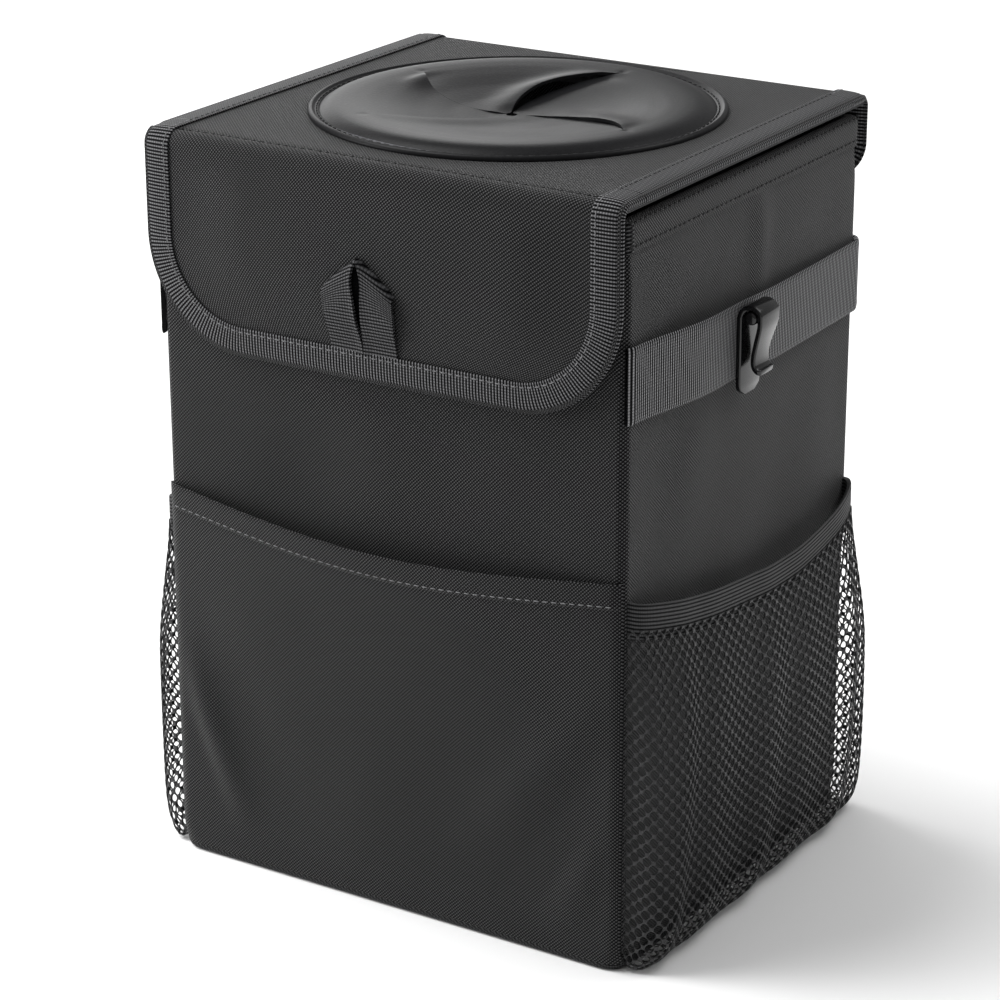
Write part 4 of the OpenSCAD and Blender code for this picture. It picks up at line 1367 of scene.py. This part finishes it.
@dataclass
class Lid:
    """Cloth top with its side bindings, and the back flap that it is sewn to."""

    hole_r: float = 74.0
    front_seam_y: float = -86.7
    back_seam_y: float = 89.6
    back_drop: float = 35.0
    back_corner_r: float = 16.0
    back_fold_r: float = 4.4

    def build(self) -> None:
        """Builds the top, side bindings and the back flap."""
        self.top_cloth()
        for side in Side:
            self.side_binding(side)
        self.back_flap()

    def top_cloth(self) -> None:
        """Flat cloth with a round hole, dipping a little at the crease seam."""
        x_end = BIN.cloth_half_w
        corners = [
            math.degrees(math.atan2(y - OPENING_Y, x - OPENING_X)) % 360
            for x in (-x_end, x_end) for y in (self.front_seam_y, self.back_seam_y)
        ]
        turns = np.radians(np.unique(np.concatenate([np.arange(0, 360, 2.5), corners])))
        turns = np.append(turns, turns[0] + 2 * math.pi)
        cos, sin = np.cos(turns), np.sin(turns)
        reach_x = (x_end - np.sign(cos) * OPENING_X) / np.maximum(np.abs(cos), 1e-6)
        limit = np.where(sin > 0, self.back_seam_y - OPENING_Y, OPENING_Y - self.front_seam_y)
        reach = np.minimum(reach_x, limit / np.maximum(np.abs(sin), 1e-6))
        shares = np.linspace(1, 0, 15)[:, None]
        r = self.hole_r + (reach - self.hole_r)[None] * shares
        x = OPENING_X + r * cos
        y = OPENING_Y + r * sin
        away = x_end - np.abs(x)
        calm = ease((away - 10) / 12) * shares
        z = BIN.lid_top_z + 0.3 * np.sin(x / 19.0 + 1.0) * np.sin(y / 23.0) * calm
        z -= 0.9 * bump(y - self.front_seam_y, 1.6)
        grid = xyz(x, y, z)
        top = thin_sheet("lid_cloth", grid, 0.9, closed=True, uv=grid[..., :2])
        cloth = hang(top, OXFORD, "lid", "lid_top_panel")

    def side_binding(self, side: Side) -> None:
        """Binding along one side of the lid, between the two flaps' bindings."""
        y = np.linspace(BIN.front_split, BIN.back_split, 41)
        if side is Side.LEFT:
            y = y[::-1]
        count = len(y)
        path = EdgePath(
            xyz(side.value * BIN.lid_half_w, y, BIN.lid_top_z),
            np.tile([-float(side.value), 0.0, 0.0], (count, 1)),
            np.tile([0.0, 0.0, 1.0], (count, 1)),
            np.full(count, BIN.lid_t),
        )
        path.binding(f"{side.word}_lid", SHADED_THREAD, "lid", f"{side.word}_lid_binding")

    def back_flap(self) -> None:
        """Flap that joins the lid to the back of the bin, with its binding."""
        face_y = BIN.hinge_y + 1.4
        top, fold_r, corner_r = BIN.lid_top_z, self.back_fold_r, self.back_corner_r
        half_w = BIN.cloth_half_w
        low = top - self.back_drop
        # Y, height and half width of each row, from the seam down
        rows = [(self.back_seam_y - 0.4, top - 0.05, half_w)]
        for a in np.radians(np.linspace(10, 90, 9)):
            rows.append((face_y - fold_r + fold_r * math.sin(a), top - fold_r * (1 - math.cos(a)), half_w))
        for z in np.linspace(top - fold_r, low + BIN.inset, 26)[1:]:
            fall = np.clip(low + corner_r - z, 0, corner_r - BIN.inset)
            tuck = corner_r - math.sqrt(max(corner_r ** 2 - fall ** 2, 0.0))
            rows.append((face_y, z, half_w - tuck))
        share = np.linspace(1, -1, 61)
        grid = np.array([xyz(share * half, y, z) for y, z, half in rows])[::-1]
        inner = ease((1 - np.abs(share)) / 0.3)
        grid[..., 1] += 0.5 * inner * np.sin(grid[..., 0] / 17.0) * ease((286 - grid[..., 2]) / 10)
        cloth = hang(thin_sheet("back_flap_cloth", grid, 1.2), OXFORD, BACK_CREASE, "back_flap_panel")
        path = flap_edge(self.back_drop, corner_r, fold_r, BIN.back_split, False, 1.4)
        path.binding("back_flap", THREAD, BACK_CREASE, "back_flap_binding")


# ------------------------------------------------------------- the front flap


@dataclass
class FrontFlap:
    """Padded-looking flap with a soft fold, bound edge and a pull tab."""

    drop: float = 81.8
    corner_r: float = 43.5
    fold_r: float = 6.0
    puff: float = 1.0
    bow: float = 3.0
    thick: float = 3.2
    seam_y: float = -86.3
    tab_x: float = -4.2
    tab_z: float = 224.6
    columns: int = 73

    @property
    def face_y(self) -> float:
        """Outer face of the flap before it bows."""
        return BIN.crease_y - self.thick

    def half_width(self, z: Array) -> Array:
        """Half width of the cloth at a height, inside the binding."""
        r = self.corner_r
        fall = np.clip(BIN.lid_top_z - self.drop + r - z, 0, r - BIN.inset)
        return BIN.cloth_half_w - (r - np.sqrt(r * r - fall * fall))

    def bow_at(self, x: Array, z: Array) -> Array:
        """How far the face stands forward at a place."""
        half = self.half_width(z)
        low = BIN.lid_top_z - self.drop
        return self.bow * (
            ease((half - np.abs(x) - 10.5) / 36.0)
            * ease((z - low - 11.0) / 30.0)
            * ease((BIN.lid_top_z - 2.0 - z) / 18.0)
        )

    def face(self, depth: float, top_trim: int = 0, edge_trim: float = 0.0) -> Array:
        """Grid of the flap's face at a depth behind the outer cloth.

        Args:
            depth: How far behind.
            top_trim: Rows left out at the top.
            edge_trim: Width left out along the other edges.

        Returns:
            Points (rows, columns, 3), from the lower edge up and over the fold.
        """
        share = np.linspace(-1, 1, self.columns)
        half_w = BIN.cloth_half_w
        fold_y, fold_z = self.face_y + self.fold_r, BIN.lid_top_z - self.fold_r
        low = BIN.lid_top_z - self.drop + BIN.inset
        rows = []
        for z in np.linspace(low + edge_trim, fold_z, 42):
            x = share * (self.half_width(z) - edge_trim)
            rows.append(xyz(x, self.face_y - self.bow_at(x, z) + depth, z))
        inner = ease((1 - np.abs(share)) / 0.16 - 0.4)
        bow_top = self.bow_at(share * half_w, fold_z)
        for a in np.radians(np.linspace(90, 0, 15))[1:]:
            swell = (self.puff * math.sin(2 * a) + bow_top * math.sin(a) ** 3) * inner - depth
            r = self.fold_r + swell
            rows.append(xyz(share * (half_w - edge_trim), fold_y - r * math.sin(a), fold_z + r * math.cos(a)))
        grid = np.array(rows[: len(rows) - top_trim])
        if not top_trim:
            # The last two rows dip into the crease seam
            grid[-1, :, 2] -= 1.0
            grid[-2, :, 2] -= 0.2
        return grid

    def build(self) -> None:
        """Builds cloth, stiffener, lining, binding, stitches and tab."""
        cloth = hang(thin_sheet("flap_cloth", self.face(0.0), 0.95), OXFORD, FRONT_CREASE, "flap_panel")
        hang(thin_sheet("flap_stiffener", self.face(1.0, 16, 2.0), 1.5), BOARD, "front_flap", "flap_board")
        self.lining()
        path = flap_edge(self.drop, self.corner_r, self.fold_r, BIN.front_split, True, self.thick)
        sewn = path.binding("front_flap", THREAD, FRONT_CREASE, "flap_binding")
        seam = xyz(np.linspace(-88.5, 88.5, 120), self.seam_y - 0.35, BIN.lid_top_z - 0.1)
        row = stitch_row("crease_stitches", seam, (0, 0, 1), pitch=3.6, stitch=2.4, radius=0.42)
        sewn.append(hang(row, SHADED_THREAD, FRONT_CREASE))
        self.pull_tab()

    def lining(self) -> None:
        """Lining cloth on the inner face of the flap."""
        share = np.linspace(1, -1, self.columns)
        rows = np.array([
            xyz(share * (self.half_width(z) - 0.3), BIN.crease_y, z)
            for z in np.linspace(BIN.lid_top_z - self.drop + 0.9, 290.4, 30)
        ])
        lining = hang(thin_sheet("flap_lining_cloth", rows, 0.6), LINING_CLOTH, "front_flap", "flap_lining")

    def pull_tab(self) -> None:
        """Webbing folded to a point: two legs side by side, with a slot between them."""
        t = np.linspace(0, 1, 13)[None, :]
        v = np.concatenate([np.linspace(0, 0.8, 18), np.linspace(0.82, 1.0, 12)])[:, None]
        # The legs run apart a little, their slot ends round, and the fold between them is rounded
        outer = 14.2 + 0.9 * ease(v / 0.8)
        rounded = np.sqrt(1.0 - np.clip((v - 0.76) / 0.2, 0.0, 1.0) ** 2)
        inner = 0.12 + 2.1 * np.minimum(v / 0.76, 1.0) * rounded
        across = outer + (inner - outer) * t
        top = 24.4 + 12.4 * ((15.1 - across) / 14.9) ** 0.86
        up = top * v
        r = 3.4
        fall = r - np.sqrt(r ** 2 - np.clip(r - (top - up), 0, r) ** 2)
        slant = up + 0.55 * np.clip(across - 2.0, 0.0, 20.0) * ease((v - 0.55) / 0.4)
        uv = np.stack(np.broadcast_arrays(slant, across), 2)
        for side, replaced in ((Side.LEFT, ["pull_tab"]), (Side.RIGHT, [])):
            x, z = self.tab_x + across * side.value, self.tab_z + up
            stand = self.bow_at(x, z) + 0.7 + 2.3 * ease(up / 15.0) - 0.8 * fall
            stand += 0.5 * ease((4.0 - across) / 4.0)
            grid = xyz(x, self.face_y - stand, z)
            leg = thin_sheet(f"pull_tab_{side.word}_leg", grid, 1.2, uv=uv, inward=-side.value)
            hang(leg, TAB_WEBBING, "front_flap", *replaced)
        # The inside layer behind the slot, near black as painted shade
        x, v = np.meshgrid(np.linspace(-2.6, 2.6, 5), np.linspace(0.0, 1.0, 9))
        x, z = self.tab_x + x, self.tab_z + 32.0 * v
        stand = self.bow_at(x, z) + 0.35 + 0.6 * ease(32.0 * v / 15.0)
        strip = thin_sheet("pull_tab_inside", xyz(x, self.face_y - stand, z), 0.3)
        back = hang(strip, WEBBING_INSIDE, "front_flap")


# --------------------------------------------------------- the leather opening


@dataclass(frozen=True)
class Slit:
    """One curved slit: its angle, its sideways bow, how its edges lie, and half its gap."""

    angle: float
    bow: float
    lift: float
    sink: float
    peak: float
    spread: float
    gap: float

    def along(self, s: Array) -> Array:
        """How open the slit is at a share of the way out: 0 at both ends."""
        ends = ease(s / 0.16) * ease((1 - s) / 0.1)
        return ends * bump(s - self.peak, self.spread)


@dataclass
class SwirlOpening:
    """Leather dish of four sprung petals, with its padded rim and sewn ring."""

    end_r: float = 58.6
    edge_r: float = 58.9
    leather_t: float = 1.3
    groove_r: float = 75.5
    slits: tuple[Slit, ...] = (
        Slit(80.0, 12.2, 3.1, 1.7, 0.5, 0.42, 0.42),
        Slit(160.0, 9.0, 1.3, 0.3, 0.88, 0.12, 0.05),
        Slit(232.0, 6.0, 1.0, 0.3, 0.5, 0.45, 0.06),
        Slit(342.0, 11.2, 1.25, 0.3, 0.66, 0.42, 0.14),
    )
    meet: tuple[float, float] = (-2.98, 0.0)
    # Profile of the leather from the middle out: radius and height
    knots: tuple[tuple[float, float], ...] = (
        (0.0, 292.3), (12.0, 292.5), (25.0, 293.5), (38.0, 295.2), (49.0, 297.0), (57.0, 298.1),
        (63.0, 298.6), (67.0, 298.7), (70.0, 298.4), (72.6, 297.4), (74.6, 296.0), (78.0, 294.2),
    )
    order: tuple[tuple[str, int, int], ...] = (
        ("back_right_petal", 3, 0), ("back_left_petal", 0, 1), ("left_petal", 1, 2), ("front_petal", 2, 3),
    )

    def dish(self, r: Array) -> Array:
        """Smooth height of the leather at a radius."""
        dense = np.linspace(0, 78, 625)
        knots = np.array(self.knots)
        height = np.interp(dense, knots[:, 0], knots[:, 1])
        kernel = np.hanning(31)
        kernel /= kernel.sum()
        for _ in range(2):
            padded = np.concatenate([height[15:0:-1], height, 2 * height[-1] - height[-2:-17:-1]])
            height = np.convolve(padded, kernel, mode="valid")
        return np.interp(r, dense, height)

    def build(self) -> None:
        """Builds the ring, the collar and the petals."""
        self.ring()
        self.collar()
        for name, k, j in self.order:
            self.petal(name, k, j)

    def round_points(self, r: Any, z: Any, count: int) -> Array:
        """Points once round the opening's middle, at radii and heights."""
        turns = np.linspace(0, 2 * math.pi, count)
        return xyz(OPENING_X + r * np.cos(turns), OPENING_Y + r * np.sin(turns), z)

    def ring(self) -> None:
        """Leather ring with a turned outer edge and a stitched groove."""
        profile = np.array([
            (74.4, 295.12), (74.5, 296.0), (75.0, 296.35), (75.9, 296.35), (76.6, 296.6), (77.1, 297.05),
            (77.7, 297.25), (78.3, 297.0), (78.8, 296.4), (79.0, 295.7), (78.9, 295.12), (74.4, 295.12),
        ])
        rows = self.round_points(profile[:, :1], profile[:, 1:], 193)
        hang(closed_skin("opening_ring_leather", rows), LEATHER, "lid", "opening_ring")
        path = self.round_points(self.groove_r, 296.5, 241)
        hang(stitch_row("opening_ring_stitches", path, (0, 0, 1), pitch=4.0, stitch=3.0), SHADED_THREAD, "lid")

    def collar(self) -> None:
        """Padded rim of the dish, with an inner skirt down to the lid's lining."""
        columns = 241
        turns = np.linspace(0, 360, columns)
        crown = np.linspace(self.edge_r, 74.7, 26)
        rows = [np.tile([r, self.dish(r)], (columns, 1)) for r in crown]
        # Soft dents where the slits run out into the rim
        for row, r in zip(rows, crown):
            for slit in self.slits:
                away = (turns - slit.angle + 180) % 360 - 180
                reach = ease((66.0 - r) / 6.0) * ease((r - self.edge_r) / 1.2)
                row[:, 1] -= 0.3 * slit.lift ** 0.5 * reach * bump(away * r * math.pi / 180, 0.9)
        low_r = (*np.linspace(72.0, 61.0, 10), 59.5, self.edge_r)
        under = [(r, self.dish(r) - self.leather_t) for r in low_r]
        skirt = [(60.6, 292.4), (60.3, 291.6), (59.8, 291.6), (59.6, 292.4)]
        edge = [(74.9, 295.7), (74.6, 295.2), (72.8, 295.2), (72.4, 295.9)]
        rows += [np.tile(p, (columns, 1)) for p in (*edge, *under[:10], *skirt, *under[10:])]
        rows = np.array(rows + rows[:1])
        skin = closed_skin("opening_collar_leather", self.round_points(rows[..., 0], rows[..., 1], columns))
        collar = hang(skin, LEATHER, "lid", "opening_collar")

    def slit_end(self, k: int) -> Array:
        """Where slit k meets the padded rim."""
        turn = math.radians(self.slits[k].angle)
        return self.end_r * np.array([math.cos(turn), math.sin(turn)])

    def slit_line(self, k: int, s: Array) -> Array:
        """Points of slit k at shares of the way out."""
        run = self.slit_end(k) - self.meet
        side = np.array([-run[1], run[0]]) / np.linalg.norm(run)
        bow = self.slits[k].bow * 4 * s * (1 - s)
        return self.meet + run * s[:, None] + side * bow[:, None]

    def petal(self, name: str, k: int, j: int) -> None:
        """A petal from slit k round to slit j, with a raised first edge and a sunk last one."""
        s = np.linspace(1.0, 0.03, 46)
        first, last = self.slits[k], self.slits[j]
        meet = np.array(self.meet)
        turn, share = [], []
        for index, gap in ((k, first.gap), (j, -last.gap)):
            away = self.slit_line(index, s) - meet
            reach = np.linalg.norm(away, axis=1)
            angle = np.unwrap(np.arctan2(away[:, 1], away[:, 0]))
            turn.append(angle + gap / np.maximum(reach, 2.0))
            share.append(reach / self.rim_reach(angle))
        while turn[1][0] < turn[0][0]:
            turn[1] = turn[1] + 2 * math.pi
        while turn[1][0] - turn[0][0] > 2 * math.pi:
            turn[1] = turn[1] - 2 * math.pi
        share = [row / row[0] for row in share]
        even = np.linspace(0, 1, 55)
        a = (0.45 * even + 0.275 * (1 - np.cos(math.pi * even)))[None]
        angle = turn[0][:, None] * (1 - a) + turn[1][:, None] * a
        out = share[0][:, None] * (1 - a) + share[1][:, None] * a
        reach = out * self.rim_reach(angle)
        x = meet[0] + reach * np.cos(angle)
        y = meet[1] + reach * np.sin(angle)
        z = self.dish(np.hypot(x, y))
        width = reach * (turn[1] - turn[0])[:, None]
        z += first.lift * first.along(s)[:, None] * bump(a * width, 9.5)
        z -= last.sink * last.along(s)[:, None] * bump((1 - a) * width, 8.0)
        grid = xyz(x + OPENING_X, y + OPENING_Y, z)
        petal = thin_sheet(f"{name}_leather", grid, self.leather_t, uv=grid[..., :2])
        # The crease runs inwards across the petal's root
        ends = [self.slit_end(i) for i in (k, j)]
        middle = (ends[0] + ends[1]) / 2 + [OPENING_X, OPENING_Y]
        root = ends[1] - ends[0]
        out_way = np.array([root[1], -root[0]]) / np.linalg.norm(root)
        crease = Crease("lid", name, (*(middle + out_way * 1.5), 296.0), (*(middle - out_way * 9.0), 296.0))
        hang(petal, LEATHER, crease, name)

    def rim_reach(self, angle: Array) -> Array:
        """Distance from the slits' meeting point to the collar at an angle."""
        along = self.meet[0] * np.cos(angle) + self.meet[1] * np.sin(angle)
        off = self.meet[0] ** 2 + self.meet[1] ** 2
        return -along + np.sqrt(along ** 2 - off + self.edge_r ** 2)


# --------------------------------------------------------------- hidden layers


@dataclass
class HiddenLayers:
    """Boards, patches, foam and base: only the wall boards' top edge differs from the frame."""

    wall_boards: tuple[str, ...] = ("front_board", "back_board", "left_board", "right_board")
    board_top: float = 286.4

    finishes: dict[str, Finish] = field(default_factory=lambda: {
        "base_board": BOARD, "lid_board": BOARD, "base_panel": OXFORD_SOLID,
        "lid_lining": LINING_CLOTH, "front_loop_patch": NAP, "flap_hook_patch": NAP,
        "back_loop_patch": NAP, "back_hook_patch": NAP, "opening_padding": FOAM,
    })

    def build(self) -> None:
        """Dresses each node."""
        for name, finish in self.finishes.items():
            finish.dress(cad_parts[name])
            log.info("%s keeps its frame shape", name)
        for name in self.wall_boards:
            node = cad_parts[name]
            spots = np.array([node.matrix_world @ v.co for v in node.data.vertices]) / MM
            x, y, z = np.array([spots.min(axis=0), spots.max(axis=0)]).T
            z[1] = self.board_top
            corners = np.array([(x[i], y[j], z[k]) for k in (0, 1) for j in (0, 1) for i in (0, 1)])
            faces = [(0, 2, 3, 1), (4, 5, 7, 6), (0, 1, 5, 4), (2, 6, 7, 3), (0, 4, 6, 2), (1, 3, 7, 5)]
            hang(mesh_piece(f"{name}_cut", corners, faces), BOARD, "bin", name)


# ------------------------------------------------------------------ the studio


@dataclass(frozen=True)
class PhotoCamera:
    """Camera at the photograph's viewing angle."""

    azimuth: float = 32.187
    elevation: float = 20.760
    distance: float = 1281.35
    target: tuple[float, float, float] = (-6.63, 2.1, 137.22)
    roll: float = -0.159
    lens: float = 117.35

    def place(self) -> None:
        """Creates the camera and makes it the scene's own."""
        az, el, roll = (math.radians(v) for v in (self.azimuth, self.elevation, self.roll))
        back = Vector((math.sin(az) * math.cos(el), -math.cos(az) * math.cos(el), math.sin(el)))
        right = (-back).cross(Vector((0, 0, 1))).normalized()
        up = right.cross(-back)
        right, up = (
            right * math.cos(roll) + up * math.sin(roll), up * math.cos(roll) - right * math.sin(roll),
        )
        data = bpy.data.cameras.new("photo_camera")
        data.lens = self.lens
        data.sensor_width = 36.0
        data.clip_end = 50.0
        camera = bpy.data.objects.new("photo_camera", data)
        place = (Vector(self.target) + back * self.distance) * MM
        camera.matrix_world = Matrix((
            (right.x, up.x, back.x, place.x), (right.y, up.y, back.y, place.y),
            (right.z, up.z, back.z, place.z), (0, 0, 0, 1),
        ))
        bpy.context.scene.collection.objects.link(camera)
        bpy.context.scene.camera = camera


@dataclass(frozen=True)
class SoftBox:
    """A rectangular studio light."""

    name: str
    place: tuple[float, float, float]
    aim: tuple[float, float, float]
    size: tuple[float, float]
    watts: float

    def light(self) -> None:
        """Hangs the light."""
        data = bpy.data.lights.new(self.name, "AREA")
        data.shape = "RECTANGLE"
        data.size, data.size_y = self.size
        data.energy = self.watts
        lamp = bpy.data.objects.new(self.name, data)
        lamp.location = self.place
        away = Vector(self.place) - Vector(self.aim)
        lamp.rotation_euler = away.to_track_quat("Z", "Y").to_euler()
        bpy.context.scene.collection.objects.link(lamp)


@dataclass
class Studio:
    """Pale floor, even pale surroundings and soft lights, stronger from the left."""

    world_level: float = 0.40
    sun_level: float = 3.3
    sun_angle: float = 40.0
    sun_way: tuple[float, float, float] = (-0.62, -0.15, 1.0)
    floor_reach: float = 9000.0
    floor_z: float = -0.4
    boxes: tuple[SoftBox, ...] = (
        SoftBox("key_softbox", (-0.55, -0.40, 0.36), (-0.08, -0.06, 0.18), (0.3, 0.4), 2.9),
        SoftBox("back_softbox", (-1.0, 0.95, 0.62), (0, 0, 0.28), (0.8, 0.5), 3.3),
        SoftBox("floor_softbox", (0.34, 0.22, 0.62), (0.25, 0.16, 0.0), (0.25, 0.35), 1.4),
        SoftBox("side_softbox", (1.9, 0.5, 0.9), (0, 0, 0.15), (0.6, 1.2), 0.9),
    )

    def build(self) -> None:
        """Sets floor, surroundings and lights."""
        scene = bpy.context.scene
        scene.view_settings.view_transform = "Standard"
        world = bpy.data.worlds.new("pale_surroundings")
        world.use_nodes = True
        sky = world.node_tree.nodes["Background"]
        sky.inputs["Color"].default_value = (1.0, 1.0, 1.0, 1.0)
        sky.inputs["Strength"].default_value = self.world_level
        scene.world = world
        spots = [(-1, -1), (1, -1), (1, 1), (-1, 1)]
        corners = np.array([(x * self.floor_reach, y * self.floor_reach, self.floor_z) for x, y in spots])
        floor = mesh_piece("studio_floor", corners, [(0, 1, 2, 3)])
        paper = bpy.data.materials.new("paper_sweep_matt")
        paper.use_nodes = True
        shader = paper.node_tree.nodes["Principled BSDF"]
        fibres = add_node(paper.node_tree, "ShaderNodeTexNoise", None, {"Scale": 900.0, "Detail": 2.0})
        relief = add_node(
            paper.node_tree, "ShaderNodeBump", None,
            {"Strength": 0.2, "Distance": 0.0001, "Height": fibres.outputs[0]},
        )
        paper.node_tree.links.new(relief.outputs["Normal"], shader.inputs["Normal"])
        shader.inputs["Base Color"].default_value = linear("#f0f0f0")
        shader.inputs["Roughness"].default_value = 0.9
        floor.data.materials.append(paper)
        sun = bpy.data.lights.new("window_sun", "SUN")
        sun.energy = self.sun_level
        sun.angle = math.radians(self.sun_angle)
        lamp = bpy.data.objects.new("window_sun", sun)
        lamp.rotation_euler = Vector(self.sun_way).to_track_quat("Z", "Y").to_euler()
        scene.collection.objects.link(lamp)
        for box in self.boxes:
            box.light()


# ---------------------------------------------------------------------- making


def main() -> None:
    """Builds the camera, every sub-assembly and the studio, in order."""
    logging.basicConfig(level=logging.INFO, format="%(name)s: %(message)s")
    PhotoCamera().place()
    sub_assemblies = [
        BodyShell(), FrontPocket(), MeshPocket(Side.RIGHT), MeshPocket(Side.LEFT), SideStrap(),
        BagClip(Side.RIGHT), BagClip(Side.LEFT), Lid(), FrontFlap(), SwirlOpening(), HiddenLayers(),
    ]
    for part in sub_assemblies:
        part.build()
        log.info("%s done", type(part).__name__)
    Studio().build()


if __name__ == "__main__":
    main()
